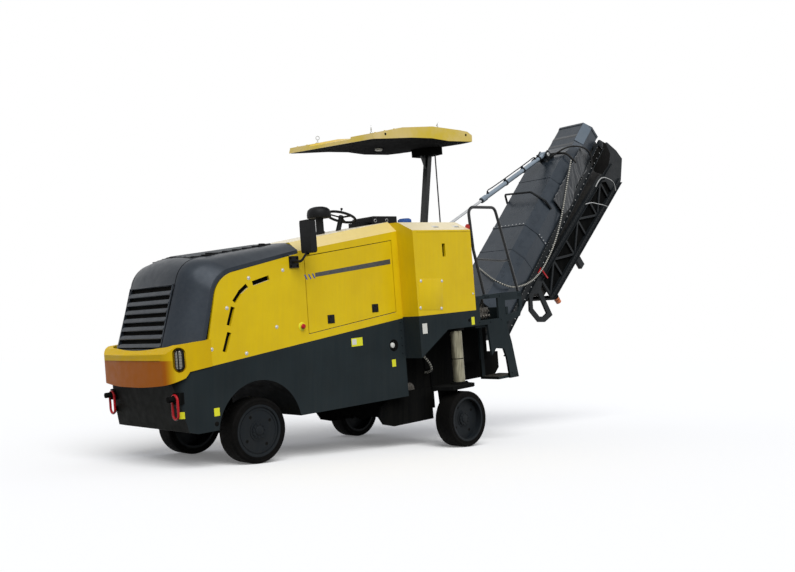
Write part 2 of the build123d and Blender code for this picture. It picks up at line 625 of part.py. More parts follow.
def leg():
    """The left rear leg: its chromed column, the plate over the tyre and the arm down to the hub."""
    x, z, top = REAR_AXLE_X, REAR_AXLE_Z, REAR_AXLE_Z + TYRE_R + 35
    inner = REAR_WHEEL_Y - TYRE_W / 2
    column = rod((LEG_X, LEG_Y, top + 40), (LEG_X, LEG_Y, 1400), LEG_R)
    plate = slab([(LEG_X - 130, inner - 110), (LEG_X - 160, inner - 60), (LEG_X - 110, REAR_WHEEL_Y + 60),
                  (LEG_X - 40, REAR_WHEEL_Y + 100), (x + 200, REAR_WHEEL_Y + 100), (x + 260, inner - 60),
                  (x + 220, inner - 110)], top, top + 40)
    arm = prism([(x - 110, z - 60), (x, z - 110), (x + 110, z - 60), (x + 150, top), (x - 150, top)],
                inner - 90, inner - 30)
    return column, plate + arm + y_disc(x, inner - 30, REAR_WHEEL_Y + 10, z, STUB_R)


# ---------------------------------------------------------------- conveyor
def turret():
    """The slewing column with the two arms of the luffing pivot and the cylinder's fork at its head."""
    eye_x, eye_z = MAST_EYE
    column = rod((SLEW_X, 0, 800), (SLEW_X, 0, eye_z - 62), COLUMN_R)
    base = block(-4075, SLEW_X + 120, -465, 465, 870, 910)
    ear = prism([(-4075, 870), (-3900, 870), (-3900, 910), (-4090, 1110), (-4210, 1110), (-4210, 1000)], 425, 465)
    ear -= y_disc(PIVOT[0], 400, 500, PIVOT[1], PIVOT_PIN_R + FIT)
    fork = prism([(SLEW_X - 20, eye_z - 160), (eye_x - 10, eye_z - 45), (eye_x + 40, eye_z - 20),
                  (eye_x + 40, eye_z + 36), (eye_x - 36, eye_z + 36), (SLEW_X - 20, eye_z - 70)], 30, 50)
    return column + base + mirrored(ear) + mirrored(fork)


def belt_box(u0, u1, y0, y1, w0, w1):
    return block(-u1, -u0, y0, y1, w0, w1)


def lower_conveyor():
    """The lower belt frame: two rails, their ties, the pivot pins and the folding hinge's lugs."""
    y0, y1 = LOWER_Y - SKIN, LOWER_Y
    rail = belt_box(-60, LOWER_END_U, y0, y1, -320, -180)
    rail += belt_box(-60, 60, y0, y1, -200, 60)
    rail += y_disc(0, y1, 465, 0, PIVOT_PIN_R)
    lug = prism([(-FOLD[0] - 50, FOLD[1] - 50), (-FOLD[0] + 60, FOLD[1] - 50), (-3800, -320), (-3800, -300),
                 (-LOWER_END_U, -300), (-FOLD[0] - 50, FOLD[1] + 40)], y0, y1)
    lug -= y_disc(-FOLD[0], 300, 500, FOLD[1], 25 + FIT)
    frame = mirrored(rail + lug)
    for u in (60, 1050, 2050, 3050, 3700):
        frame += belt_box(u, u + 60, -y0, y0, -320, -290)
    return belt_line(frame)


def lower_belt():
    return belt_line(belt_box(20, LOWER_END_U - 50, -BELT_Y, BELT_Y, -288, -150))


def cover_form(inset):
    """The cover's outer form shrunk by inset: a ridged hood over the belt that narrows to a lower head."""
    def section(x, half, edge, peak):
        ridge = half - 100 - inset / 2
        y, top, low = half - inset, peak - inset, -180 - inset
        pts = [(x, y, low), (x, y, edge - inset / 2), (x, ridge, top), (x, -ridge, top), (x, -y, edge - inset / 2),
               (x, -y, low)]
        return make_face(Polyline(*pts, close=True))
    solid = loft([section(-COVER[0][0], *COVER[0][1:]), section(-COVER[1][0], *COVER[1][1:])], ruled=True)
    for near, far in zip(COVER[1:], COVER[2:]):
        solid += loft([section(-near[0], *near[1:]), section(-far[0], *far[1:])], ruled=True)
    return solid


def lower_cover():
    """The sheet cover over the lower belt, open at both ends."""
    u0, u1 = COVER[0][0], COVER[-1][0]
    shell = cover_form(0) - Pos(-1, 0, 0) * cover_form(COVER_SKIN) - Pos(1, 0, 0) * cover_form(COVER_SKIN)
    return belt_line(shell & belt_box(u0, u1, -500, 500, -180, 500))


def cover_hoop():
    """The hoop of bent bar over the cover, and the hose carried along its side up to the head."""
    hoop = bent_tube([(-2213, LOWER_Y + 14, 60), (-2250, LOWER_Y - 30, 200), (-2280, 200, 385),
                      (-2320, -310, 385), (-2330, -LOWER_Y + 12, 200)], 17, 45, 6)
    return belt_line(hoop - cover_form(0))


def hose():
    """The armoured hose that droops over the cover's ridge and runs up its side to the head."""
    return belt_line(bent_tube([(-u, y, w) for u, y, w in HOSE], HOSE_R, 110, 6))


def upper_line(shape):
    """From the upper section's own axes, x from the hinge to its tail, to the level machine."""
    return belt_line(Pos(-FOLD[0], 0, FOLD[1]) * Rot(0, -FOLD_TILT, 0) * shape)


def upper_conveyor():
    """The folded upper belt frame: two braced ladder sides, their ties and the hinge plates with pins."""
    (s0, s1), (n0, n1) = UPPER_S, UPPER_N
    y0, y1 = UPPER_Y - SKIN, UPPER_Y
    low, high = n0 + 90, n1 - 90
    side = block(s0, s1, y0, y1, n0, low) + block(s0, s1, y0, y1, high, n1)
    bay = (s1 - s0) / UPPER_BAYS
    for k in range(UPPER_BAYS):
        s = s0 + bay * k
        foot, head = ((s, s + bay), (s + bay, s))[k % 2]
        side += prism(strip((foot, low - 5), (head, high + 5), 34), y0 + 8, y1)
        side += block(s, s + 36, y0, y1, low, high)
    side += block(s1 - 36, s1, y0, y1, low, high)
    side += prism([(-110, 60), (100, 60), (400, high), (400, n0 + 60), (40, n0 + 20), (-270, -400), (-230, -200)],
                  y0, y1)
    tail = prism([(s1 - 60, n1), (s1 + 268, n1), (s1 + 350, -187), (s1 + 519, -362), (s1 + 490, -615),
                  (s1 + 385, -721), (s1 + 176, -783), (s1 + 100, -330), (s1 - 60, high)], y0, y1)
    tail -= prism([(s1 + 270, -262), (s1 + 345, -285), (s1 + 440, -390), (s1 + 418, -575), (s1 + 345, -645),
                   (s1 + 250, -670), (s1 + 185, -330)], 0, 500)
    foot = block(s0 + 1790, s0 + 1900, y0 - 30, y1, n0 - 190, n0 + 10)
    side += tail + foot + y_disc(0, y1, LOWER_Y, 0, 25)
    frame = mirrored(side)
    for s in (400, 1200, 2100, s1 - 60):
        frame += block(s, s + 60, -y0, y0, n0, n0 + 40)
    return upper_line(frame)


def beacon():
    """The amber lamp on a stub under the upper section's tail."""
    s, n = UPPER_S[1] - 90, UPPER_N[0]
    return upper_line(rod((s, UPPER_Y - 15, n), (s, UPPER_Y - 15, n - 130), 42))


def upper_belt():
    n0, n1 = UPPER_N
    return upper_line(block(60, UPPER_S[1] + 40, -BELT_Y, BELT_Y, n0 + 130, n1 - 60))


def along(a, b, t):
    """The point t millimetres from a towards b, both (x, z)."""
    d = hypot(b[0] - a[0], b[1] - a[1])
    return (a[0] + (b[0] - a[0]) * t / d, 0, a[1] + (b[1] - a[1]) * t / d)


def lift_barrel():
    """The luffing cylinder's barrel with its gland and the eye on the conveyor's pin."""
    pin = belt_point(*CYL_EYE)
    barrel = rod(along(pin, MAST_EYE, 30), along(pin, MAST_EYE, GLAND), BARREL_R, BARREL_R - 7)
    gland = rod(along(pin, MAST_EYE, GLAND - 90), along(pin, MAST_EYE, GLAND + 20), BARREL_R + 8, ROD_R + FIT)
    base = rod(along(pin, MAST_EYE, 30), along(pin, MAST_EYE, 70), BARREL_R)
    eye = y_disc(pin[0], -50, 50, pin[1], 50) - y_disc(pin[0], -60, 60, pin[1], 20 + FIT)
    return (barrel + gland + base - y_disc(pin[0], -60, 60, pin[1], 50)) + eye


def lift_rod():
    """The piston, its rod and the eye in the mast's fork."""
    pin = belt_point(*CYL_EYE)
    reach = hypot(MAST_EYE[0] - pin[0], MAST_EYE[1] - pin[1])
    bar = rod(along(pin, MAST_EYE, PISTON_S), along(pin, MAST_EYE, reach - 30), ROD_R)
    piston = rod(along(pin, MAST_EYE, PISTON_S), along(pin, MAST_EYE, PISTON_S + 60), BARREL_R - 8)
    eye = y_disc(MAST_EYE[0], -20, 20, MAST_EYE[1], 36, 20)
    return bar + piston + eye - y_disc(MAST_EYE[0], -21, 21, MAST_EYE[1], 20)


def cylinder_bracket():
    """Two ears and the barrel's pin on the ridge of the lower cover."""
    u, w = CYL_EYE
    plate = prism([(-u - 110, 150), (-u + 110, 150), (-u + 45, w + 50), (-u - 45, w + 50)], 60, 76)
    return belt_line(mirrored(plate) - cover_form(0) + y_disc(-u, -76, 76, w, 20))


# ---------------------------------------------------------------- assembly
def assembly():
    """Every node by name, in the level machine's axes."""
    parts = {
        "lower_body": lower_body(), "rear_body": rear_body(), "drum_box": drum_box(), "chute": chute(),
        "hood": hood(), "bumper": bumper(), "headlamps": headlamps(), "deck": deck(),
        "side_panels": mirrored(side_panel()), "engine_block": engine(), "platform": platform(),
        "rear_boxes": mirrored(rear_box()), "water_cap": water_cap(), "rear_frame": rear_frame(),
        "ladders": mirrored(ladder()), "handrails": mirrored(handrail()), "canopy": canopy(),
        "canopy_post": canopy_post(), "console": console(), "air_intake": air_intake(),
        "steering_wheel": steering_wheel(), "mirror": mirror(), "tow_pins": mirrored(tow_pin()),
        "tow_links": mirrored(tow_link()), "front_axle": front_axle(), "drum": drum(), "turret": turret(),
        "lower_conveyor": lower_conveyor(), "lower_belt": lower_belt(), "lower_cover": lower_cover(),
        "cover_hoop": cover_hoop(), "hose": hose(), "upper_conveyor": upper_conveyor(),
        "upper_belt": upper_belt(), "beacon": beacon(), "cylinder_bracket": cylinder_bracket(),
        "lift_barrel": lift_barrel(), "lift_rod": lift_rod(),
    }
    column, arm = leg()
    for name, shape in (("door", door()), ("side_plate", side_plate()), ("knuckle", knuckle()),
                        ("leg_column", column), ("leg_arm", arm)):
        parts[name + "_left"] = shape
        parts[name + "_right"] = shape.mirror(Plane.XZ)
    for side, outward in (("left", 1), ("right", -1)):
        tyre, rim = wheel(0, outward * FRONT_WHEEL_Y, TYRE_R, outward, 100)
        parts["front_tyre_" + side], parts["front_rim_" + side] = tyre, rim
        tyre, rim = wheel(REAR_AXLE_X, outward * REAR_WHEEL_Y, REAR_AXLE_Z, outward, 40)
        parts["rear_tyre_" + side], parts["rear_rim_" + side] = tyre, rim
    return {name: level_to_stand(shape) for name, shape in parts.items()}


PARTS = assembly()
BOXES = [shape.bounding_box() for shape in PARTS.values()]
ROW_X = -(min(box.min.X for box in BOXES) + max(box.max.X for box in BOXES)) / 2
os.makedirs("parts", exist_ok=True)
for node, shape in PARTS.items():
    export_step(Pos(ROW_X, 0, 0) * shape, f"parts/{node}.step")
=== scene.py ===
import math

import bmesh
import bpy
from mathutils import Matrix, Vector, noise


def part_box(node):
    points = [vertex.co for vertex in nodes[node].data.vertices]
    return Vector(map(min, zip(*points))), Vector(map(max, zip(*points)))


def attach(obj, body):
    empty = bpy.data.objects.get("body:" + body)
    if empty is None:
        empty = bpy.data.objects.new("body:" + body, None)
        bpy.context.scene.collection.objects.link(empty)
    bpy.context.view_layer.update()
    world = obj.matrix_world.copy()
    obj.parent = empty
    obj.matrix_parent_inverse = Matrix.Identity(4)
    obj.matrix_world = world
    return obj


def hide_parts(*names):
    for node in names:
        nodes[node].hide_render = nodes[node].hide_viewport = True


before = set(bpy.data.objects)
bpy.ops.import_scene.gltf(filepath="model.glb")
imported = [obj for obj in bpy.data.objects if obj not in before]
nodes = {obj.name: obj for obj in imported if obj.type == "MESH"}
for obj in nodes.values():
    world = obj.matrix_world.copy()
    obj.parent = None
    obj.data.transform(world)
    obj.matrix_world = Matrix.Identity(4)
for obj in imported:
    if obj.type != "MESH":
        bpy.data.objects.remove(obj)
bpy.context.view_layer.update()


# ---------------------------------------------------------------- where the machine stands
# A small wheeled cold planer, parked nose-down about its front axle with its rear legs run out.
# Sizes are millimetres on the level machine: x forward from the front axle, y to its left, z up.
# STAND takes them to where the machine stands, in metres.
PITCH = math.radians(6.1)
TYRE_R = 330
tyre_low, tyre_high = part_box("front_tyre_left")
AXLE = Vector(((tyre_low.x + tyre_high.x) / 2, 0, (tyre_low.z + tyre_high.z) / 2))
STAND = Matrix.Translation(AXLE) @ Matrix.Rotation(PITCH, 4, "Y") @ Matrix.Scale(0.001, 4)
STAND = STAND @ Matrix.Translation((0, 0, -TYRE_R))
SIDES = (("left", 1), ("right", -1))

# A person's eye height, off the left front corner, looking slightly up.
CAMERA_LENS = 39.67
CAMERA_OFF_AXLE = (5.17, 8.10, 1.09)
CAMERA_YAW, CAMERA_PITCH = math.radians(226.1), math.radians(4.5)
camera_data = bpy.data.cameras.new("camera")
camera_data.sensor_width = 36
camera_data.lens = CAMERA_LENS
camera = bpy.data.objects.new("camera", camera_data)
bpy.context.scene.collection.objects.link(camera)
camera.location = (AXLE.x + CAMERA_OFF_AXLE[0], CAMERA_OFF_AXLE[1], CAMERA_OFF_AXLE[2])
looking = Vector((math.cos(CAMERA_YAW) * math.cos(CAMERA_PITCH),
                  math.sin(CAMERA_YAW) * math.cos(CAMERA_PITCH), math.sin(CAMERA_PITCH)))
camera.rotation_euler = looking.to_track_quat("-Z", "Y").to_euler()
bpy.context.scene.camera = camera
bpy.context.scene.view_settings.view_transform = "Standard"


# ---------------------------------------------------------------- studio
# A plain pale floor under an overcast-like dome, with one broad soft lamp high on the machine's left.
# The eye and mirrors see the dome and the floor as white; the light that they throw on paint is calmer.
DOME_LIGHT = 0.42
FLOOR_R = 160
FLOOR_BOUNCE = "#8b8b88"
FLOOR_WHITE = "#f4f4f3"
FLOOR_GLOW = 0.13
LAMP_FROM = Vector((0.42, 0.80, 0.92))
LAMP_LIGHT, LAMP_SOFTNESS = 2.55, math.radians(50)


def srgb(text):
    """An sRGB hex colour as linear values with alpha."""
    parts = [int(text[i:i + 2], 16) / 255 for i in (1, 3, 5)]
    return [c / 12.92 if c <= 0.04045 else ((c + 0.055) / 1.055) ** 2.4 for c in parts] + [1]


def add(tree, kind, values=(), links=(), **settings):
    """Adds one node: its settings, the values of its sockets and the sockets that feed it."""
    node = tree.nodes.new(kind)
    for name, value in settings.items():
        setattr(node, name, value)
    for name, value in dict(values).items():
        node.inputs[name].default_value = value
    for name, source in dict(links).items():
        tree.links.new(source, node.inputs[name])
    return node


def seen_directly(tree):
    """1 for the rays of the camera, of mirrors and of glass, 0 for the light thrown on rough surfaces."""
    path = add(tree, "ShaderNodeLightPath")
    eye_or_mirror = {0: path.outputs["Is Camera Ray"], 1: path.outputs["Is Glossy Ray"]}
    first = add(tree, "ShaderNodeMath", links=eye_or_mirror, operation="MAXIMUM")
    or_glass = {0: first.outputs[0], 1: path.outputs["Is Transmission Ray"]}
    return add(tree, "ShaderNodeMath", links=or_glass, operation="MAXIMUM").outputs[0]


world = bpy.data.worlds.new("dome")
world.use_nodes = True
bpy.context.scene.world = world
tree = world.node_tree
tree.nodes.clear()
thrown = add(tree, "ShaderNodeBackground", {"Color": srgb("#f3f6ff"), "Strength": DOME_LIGHT})
shown = add(tree, "ShaderNodeBackground", {"Color": srgb("#ffffff"), "Strength": 1})
both = add(tree, "ShaderNodeMixShader",
           links={0: seen_directly(tree), 1: thrown.outputs[0], 2: shown.outputs[0]})
add(tree, "ShaderNodeOutputWorld", links={"Surface": both.outputs[0]})

floor_material = bpy.data.materials.new("pale_floor")
floor_material.use_nodes = True
tree = floor_material.node_tree
tree.nodes.clear()
thrown = add(tree, "ShaderNodeBsdfDiffuse", {"Color": srgb(FLOOR_BOUNCE)})
lit = add(tree, "ShaderNodeBsdfDiffuse", {"Color": srgb(FLOOR_WHITE)})
glow = add(tree, "ShaderNodeEmission", {"Color": srgb("#ffffff"), "Strength": FLOOR_GLOW})
shown = add(tree, "ShaderNodeAddShader", links={0: lit.outputs[0], 1: glow.outputs[0]})
both = add(tree, "ShaderNodeMixShader",
           links={0: seen_directly(tree), 1: thrown.outputs[0], 2: shown.outputs[0]})
add(tree, "ShaderNodeOutputMaterial", links={"Surface": both.outputs[0]})

bm = bmesh.new()
bmesh.ops.create_circle(bm, cap_ends=True, segments=64, radius=FLOOR_R)
floor_mesh = bpy.data.meshes.new("floor")
bm.to_mesh(floor_mesh)
bm.free()
floor_mesh.materials.append(floor_material)
floor = bpy.data.objects.new("floor", floor_mesh)
bpy.context.scene.collection.objects.link(floor)

lamp_data = bpy.data.lights.new("soft_lamp", "SUN")
lamp_data.energy = LAMP_LIGHT
lamp_data.angle = LAMP_SOFTNESS
lamp = bpy.data.objects.new("soft_lamp", lamp_data)
lamp.rotation_euler = LAMP_FROM.to_track_quat("Z", "Y").to_euler()
bpy.context.scene.collection.objects.link(lamp)


# ---------------------------------------------------------------- chassis tub
# The tub that carries everything is folded and welded 6 mm plate, with a separate milling box, chute and
# rear frame bolted to it.  All of it is sprayed with two-pack enamel, dusty near the road.
ROAD_DUST = "#55524b"
# near black painted on faces that look down: painted shade
UNDERSIDE_SHADE = "#070707"


def begin(name):
    """A new material's tree with its Principled shader wired to the output and its object coordinates."""
    made = bpy.data.materials.new(name)
    made.use_nodes = True
    tree = made.node_tree
    tree.nodes.clear()
    shader = add(tree, "ShaderNodeBsdfPrincipled")
    add(tree, "ShaderNodeOutputMaterial", links={"Surface": shader.outputs[0]})
    return made, tree, shader, add(tree, "ShaderNodeTexCoord").outputs["Object"]


def speckle(tree, place, size_mm, low, high, stretch=(1, 1, 1), detail=4):
    """Soft clouds from low to high, in patches of about size_mm, drawn out along an axis by stretch."""
    drawn_out = add(tree, "ShaderNodeMapping", {"Scale": stretch}, {"Vector": place})
    cloud = add(tree, "ShaderNodeTexNoise", {"Scale": 1000 / size_mm, "Detail": detail, "Roughness": 0.6},
                {"Vector": drawn_out.outputs[0]})
    spread = {"From Min": 0.32, "From Max": 0.68, "To Min": low, "To Max": high}
    return add(tree, "ShaderNodeMapRange", spread, {"Value": cloud.outputs["Fac"]}).outputs[0]


def mixed(tree, amount, first, second):
    """The colour between first and second, each a socket or a hex value, by amount."""
    node = add(tree, "ShaderNodeMix", links={0: amount}, data_type="RGBA")
    for index, colour in ((6, first), (7, second)):
        if isinstance(colour, str):
            node.inputs[index].default_value = srgb(colour)
        else:
            tree.links.new(colour, node.inputs[index])
    return node.outputs[2]


def facing(tree, axis, low, high, most=1.0):
    """How much a face looks along an axis of its own object: 0 up to low, rising to most at high."""
    flat = add(tree, "ShaderNodeNewGeometry").outputs["True Normal"]
    normal = add(tree, "ShaderNodeVectorTransform", links={0: flat}, vector_type="NORMAL",
                 convert_from="WORLD", convert_to="OBJECT").outputs[0]
    part = add(tree, "ShaderNodeSeparateXYZ", links={0: normal}).outputs[axis]
    rise = {"From Min": low, "From Max": high, "To Min": 0, "To Max": most}
    return add(tree, "ShaderNodeMapRange", rise, {"Value": part}).outputs[0]


def enamel(name, colour, shade, dust, gloss=0.32, coat=0.0, peel=0.25, level=0.3, top_glare=None, front=None,
           tint=(1, 1, 1, 1)):
    """Sprayed enamel on sheet steel.

    It drifts slowly from colour to shade over half a metre, runs with faint rain streaks a few centimetres
    wide, carries road dust that thickens towards the floor, and has a 3 mm orange peel, drawn as 9 mm.
    Panels that look up are paled to a given colour, a painted highlight of the sky's glare, and low ones
    that look ahead are darkened to another: painted shade.  The undersides are painted shade, near black.
    """
    made, tree, shader, place = begin(name)
    base = mixed(tree, speckle(tree, place, 520, 0, 1), colour, shade)
    height = add(tree, "ShaderNodeSeparateXYZ", links={0: place}).outputs["Z"]
    # low faces that look ahead are darkened to the colour front: painted shade
    if front:
        ahead = facing(tree, "X", 0.62, 0.93)
        below = add(tree, "ShaderNodeMapRange", {"From Min": 1.036, "From Max": 1.028},
                    {"Value": height}).outputs[0]
        front_shade_mask = add(tree, "ShaderNodeMath", links={0: ahead, 1: below}, operation="MULTIPLY").outputs[0]
        base = mixed(tree, front_shade_mask, base, front)
    # faces that look up are paled to the given cream: a painted highlight of the sky's glare
    if top_glare:
        base = mixed(tree, facing(tree, "Z", 0.58, 0.93, 0.92), base, top_glare)
    streak = speckle(tree, place, 40, 0, 0.05, stretch=(1, 1, 0.06), detail=6)
    base = mixed(tree, streak, base, ROAD_DUST)
    thinning = {"From Min": 0.1, "From Max": 1.9, "To Min": dust, "To Max": dust * 0.1}
    low = add(tree, "ShaderNodeMapRange", thinning, {"Value": height}).outputs[0]
    patch = speckle(tree, place, 130, 0.1, 1, detail=8)
    film = add(tree, "ShaderNodeMath", links={0: low, 1: patch}, operation="MULTIPLY",
               use_clamp=True).outputs[0]
    base = mixed(tree, film, base, ROAD_DUST)
    # faces that look down are painted near black: painted shade
    base = mixed(tree, facing(tree, "Z", -0.3, -0.75), base, UNDERSIDE_SHADE)
    tree.links.new(base, shader.inputs["Base Color"])
    rough = speckle(tree, place, 90, gloss - 0.05, gloss + 0.12, detail=6)
    tree.links.new(rough, shader.inputs["Roughness"])
    shader.inputs["Specular IOR Level"].default_value = level
    shader.inputs["Specular Tint"].default_value = tint
    shader.inputs["Coat Weight"].default_value = coat
    shader.inputs["Coat Roughness"].default_value = 0.12
    fine = add(tree, "ShaderNodeTexNoise", {"Scale": 110, "Detail": 2}, {"Vector": place})
    broad = add(tree, "ShaderNodeTexNoise", {"Scale": 3.2, "Detail": 1}, {"Vector": place})
    wave = add(tree, "ShaderNodeBump", {"Strength": 0.22, "Distance": 0.02},
               {"Height": broad.outputs["Fac"]})
    skin = add(tree, "ShaderNodeBump", {"Strength": peel, "Distance": 0.0004},
               {"Height": fine.outputs["Fac"], "Normal": wave.outputs[0]})
    tree.links.new(skin.outputs[0], shader.inputs["Normal"])
    return made


# the tub's low faces that look ahead are darkened to near black: painted shade
slate_low = enamel("slate_enamel_tub", "#272f32", "#20272a", 0.05, gloss=0.5, level=0.03, front="#0b0e0d")
# near-black matte enamel for black parts, and for sheets that stand for shade under and inside the machine:
# painted shade
black_and_shade_low = enamel("black_enamel_and_painted_shade", "#0e0f10", "#0a0b0b", 0.04, gloss=0.8, level=0.01)


def finish(names, material):
    """Gives the machine's nodes of those names their finish."""
    for name in names:
        mesh = nodes[name].data
        mesh.materials.clear()
        mesh.materials.append(material)


finish(("lower_body", "rear_body", "ladders", "rear_frame"), slate_low)
finish(("drum_box", "chute", "platform", "side_plate_left", "side_plate_right"), black_and_shade_low)


def aim(centre, axis):
    """Puts the local z axis along axis at centre."""
    return Matrix.Translation(Vector(centre)) @ Vector(axis).to_track_quat("Z", "Y").to_matrix().to_4x4()


def upright(y, out):
    """The place of a plate along the machine at y: its outline in x and z, its thickness towards out."""
    return Matrix(((1, 0, 0, 0), (0, 0, out, y), (0, 1, 0, 0), (0, 0, 0, 1)))


def turned(bm, profile, place, steps):
    """A turned shape: profile is (radius, height) along the local z axis of place."""
    points = [bm.verts.new((r, 0, h)) for r, h in profile]
    edges = [bm.edges.new(pair) for pair in zip(points, points[1:])]
    made = bmesh.ops.spin(bm, geom=points + edges, cent=(0, 0, 0), axis=(0, 0, 1), angle=2 * math.pi,
                          steps=steps, use_merge=True)
    faces = {f for v in points for f in v.link_faces}
    walked = set()
    while faces:
        face = faces.pop()
        walked.add(face)
        faces |= {f for e in face.edges for f in e.link_faces} - walked
    verts = list({v for f in walked for v in f.verts})
    bmesh.ops.remove_doubles(bm, verts=verts, dist=0.001)
    verts = [v for v in verts if v.is_valid]
    bmesh.ops.transform(bm, matrix=place, verts=verts)
    return made


def block(bm, low, high, bevel=2.0, segments=2, place=Matrix.Identity(4)):
    """A rectangular bar or plate from corner low to corner high, with rounded edges."""
    low, high = Vector(low), Vector(high)
    size = Matrix.Diagonal((*(high - low), 1))
    made = bmesh.ops.create_cube(bm, size=1, matrix=place @ Matrix.Translation((low + high) / 2) @ size)
    edges = list({e for v in made["verts"] for e in v.link_edges})
    if bevel:
        bmesh.ops.bevel(bm, geom=edges, offset=bevel, offset_type="OFFSET", segments=segments, profile=0.5,
                        affect="EDGES", material=-1)


def sheet_cut(bm, outline, thick, place, bevel=0.0):
    """A flat cut sheet: its outline lies in the local xy plane of place, its thickness goes along z."""
    face = bm.faces.new([bm.verts.new((x, y, 0)) for x, y in outline])
    made = bmesh.ops.extrude_face_region(bm, geom=[face])
    top = [g for g in made["geom"] if isinstance(g, bmesh.types.BMVert)]
    bmesh.ops.translate(bm, vec=(0, 0, thick), verts=top)
    verts = list(face.verts) + top
    if bevel:
        rim = list({e for v in top for e in v.link_edges if e.other_vert(v) in top})
        cut = bmesh.ops.bevel(bm, geom=rim, offset=bevel, offset_type="OFFSET", segments=2, profile=0.5,
                              affect="EDGES", material=-1)
        verts = list({v for v in verts + list(cut["verts"]) if v.is_valid})
    bmesh.ops.transform(bm, matrix=place, verts=verts)


def hex_bolt(bm, centre, axis, across=16):
    """A hexagon head on its washer, across millimetres over the flats."""
    place = aim(centre, axis)
    turned(bm, [(0, 2), (across * 0.78, 2), (across * 0.78, 0), (0, 0)], place, 16)
    turned(bm, [(0, across * 0.6), (across * 0.46, across * 0.6), (across * 0.57, across * 0.48),
                (across * 0.57, 1), (0, 1)], place, 6)


def settle(bm, name, body, material, place=STAND, crease=35):
    """Makes the bmesh a finished piece: in its place, riding on body and its material."""
    bmesh.ops.remove_doubles(bm, verts=bm.verts, dist=0.01)
    bmesh.ops.recalc_face_normals(bm, faces=bm.faces)
    bmesh.ops.transform(bm, matrix=place, verts=bm.verts)
    mesh = bpy.data.meshes.new(name)
    bm.to_mesh(mesh)
    bm.free()
    mesh.materials.append(material)
    mesh.shade_smooth()
    mesh.set_sharp_from_angle(angle=math.radians(crease))
    made = bpy.data.objects.new(name, mesh)
    bpy.context.scene.collection.objects.link(made)
    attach(made, body)
    return made


def zinc():
    """Zinc-plated steel fasteners: pale grey, a little crystalline, patched at 6 mm."""
    made, tree, shader, place = begin("zinc_plate")
    base = mixed(tree, speckle(tree, place, 6, 0, 1), "#d8d9d8", "#a3a4a2")
    tree.links.new(base, shader.inputs["Base Color"])
    tree.links.new(speckle(tree, place, 4, 0.28, 0.5), shader.inputs["Roughness"])
    shader.inputs["Metallic"].default_value = 0.4
    return made


def sticker(name, colour):
    """A printed vinyl label left blank: flat colour that has faded in patches of 30 mm."""
    made, tree, shader, place = begin(name)
    base = mixed(tree, speckle(tree, place, 30, 0, 0.12), colour, "#9b9277")
    tree.links.new(base, shader.inputs["Base Color"])
    tree.links.new(speckle(tree, place, 12, 0.4, 0.6), shader.inputs["Roughness"])
    return made


zinc_plate = zinc()
yellow_vinyl = sticker("yellow_vinyl", "#e2e012")
white_vinyl = sticker("white_vinyl", "#d8d8d2")
# black rubber, and the black of sheets, strips and discs that stand for shade in holes, gaps and recesses:
# painted shade
black_rubber_and_shade = enamel("black_rubber_and_painted_shade", "#070707", "#0a0a0a", 0.04, gloss=0.75, level=0.03)

# half widths over the tub's side plates and over the rear wings
TUB_Y, WING_Y = 735, 1000
# blank labels: x, z, length, height and the half width where they are stuck
YELLOW_LABELS = ((480, 592, 62, 78, TUB_Y), (-1380, 1092, 165, 92, TUB_Y), (-1922, 795, 60, 84, TUB_Y),
                 (-3057.5, 1187.5, 55, 95, WING_Y))
WHITE_LABELS = ((-1340, 1096, 62, 62, TUB_Y), (-2205, 1165, 78, 118, WING_Y))
# the bolts of the ladder's foot and of the rear frame on the wing: x, z
WING_BOLTS = ((-3180, 1160), (-3180, 1455), (-3600, 1165), (-3600, 1465), (-3390, 1150), (-3390, 1465),
              (-3600, 700), (-3740, 470), (-3820, 430))


def stick_labels(bm, labels, out, thick):
    """Blank labels as thin plates on the side that out gives."""
    for x, z, length, height, y in labels:
        y0, y1 = sorted((y * out, (y + thick) * out))
        block(bm, (x - length / 2, y0, z - height / 2), (x + length / 2, y1, z + height / 2), bevel=0)


for side, out in SIDES:
    bm = bmesh.new()
    stick_labels(bm, YELLOW_LABELS, out, 1.2)
    corner = aim((829, 674 * out, 608), (0.82, 0.57 * out, 0))
    block(bm, (-34, -32, -3), (34, 32, 5), bevel=0, place=corner)
    settle(bm, "tub_labels_" + side, "machine", yellow_vinyl)
    bm = bmesh.new()
    stick_labels(bm, WHITE_LABELS, out, 2)
    settle(bm, "tub_white_labels_" + side, "machine", white_vinyl)

    # drain hole, gauge well and the small earth stud of the tub's side; the drain hole is a black disc:
    # painted shade
    bm = bmesh.new()
    turned(bm, [(0, 0.8), (22, 0.8), (24, 0), (0, 0)], aim((490, TUB_Y * out, 478), (0, out, 0)), 20)
    turned(bm, [(0, 1.5), (56, 1.5), (60, 5), (66, 5), (68, 0), (0, 0)],
           aim((-1940, TUB_Y * out, 1000), (0, out, 0)), 28)
    turned(bm, [(0, 1), (20, 1), (22, 0), (0, 0)], aim((-2990, WING_Y * out, 1200), (0, out, 0)), 20)
    settle(bm, "tub_wells_" + side, "machine", black_rubber_and_shade)
    bm = bmesh.new()
    turned(bm, [(0, 20), (24, 20), (30, 16), (31, 2), (0, 2)],
           aim((-1912, TUB_Y * out, 1002), (0, out, 0)), 20)
    settle(bm, "tub_gauge_" + side, "machine", white_vinyl)

    # bolt heads along the joint between the tub and the rear wing, and round the ladder's foot
    bm = bmesh.new()
    for z in (900, 990, 1080, 1170, 1260):
        hex_bolt(bm, (-2075, TUB_Y * out, z), (0, out, 0), 15)
    for x, z in WING_BOLTS:
        hex_bolt(bm, (x, WING_Y * out, z), (0, out, 0), 14)
    settle(bm, "chassis_bolts_" + side, "machine", slate_low)


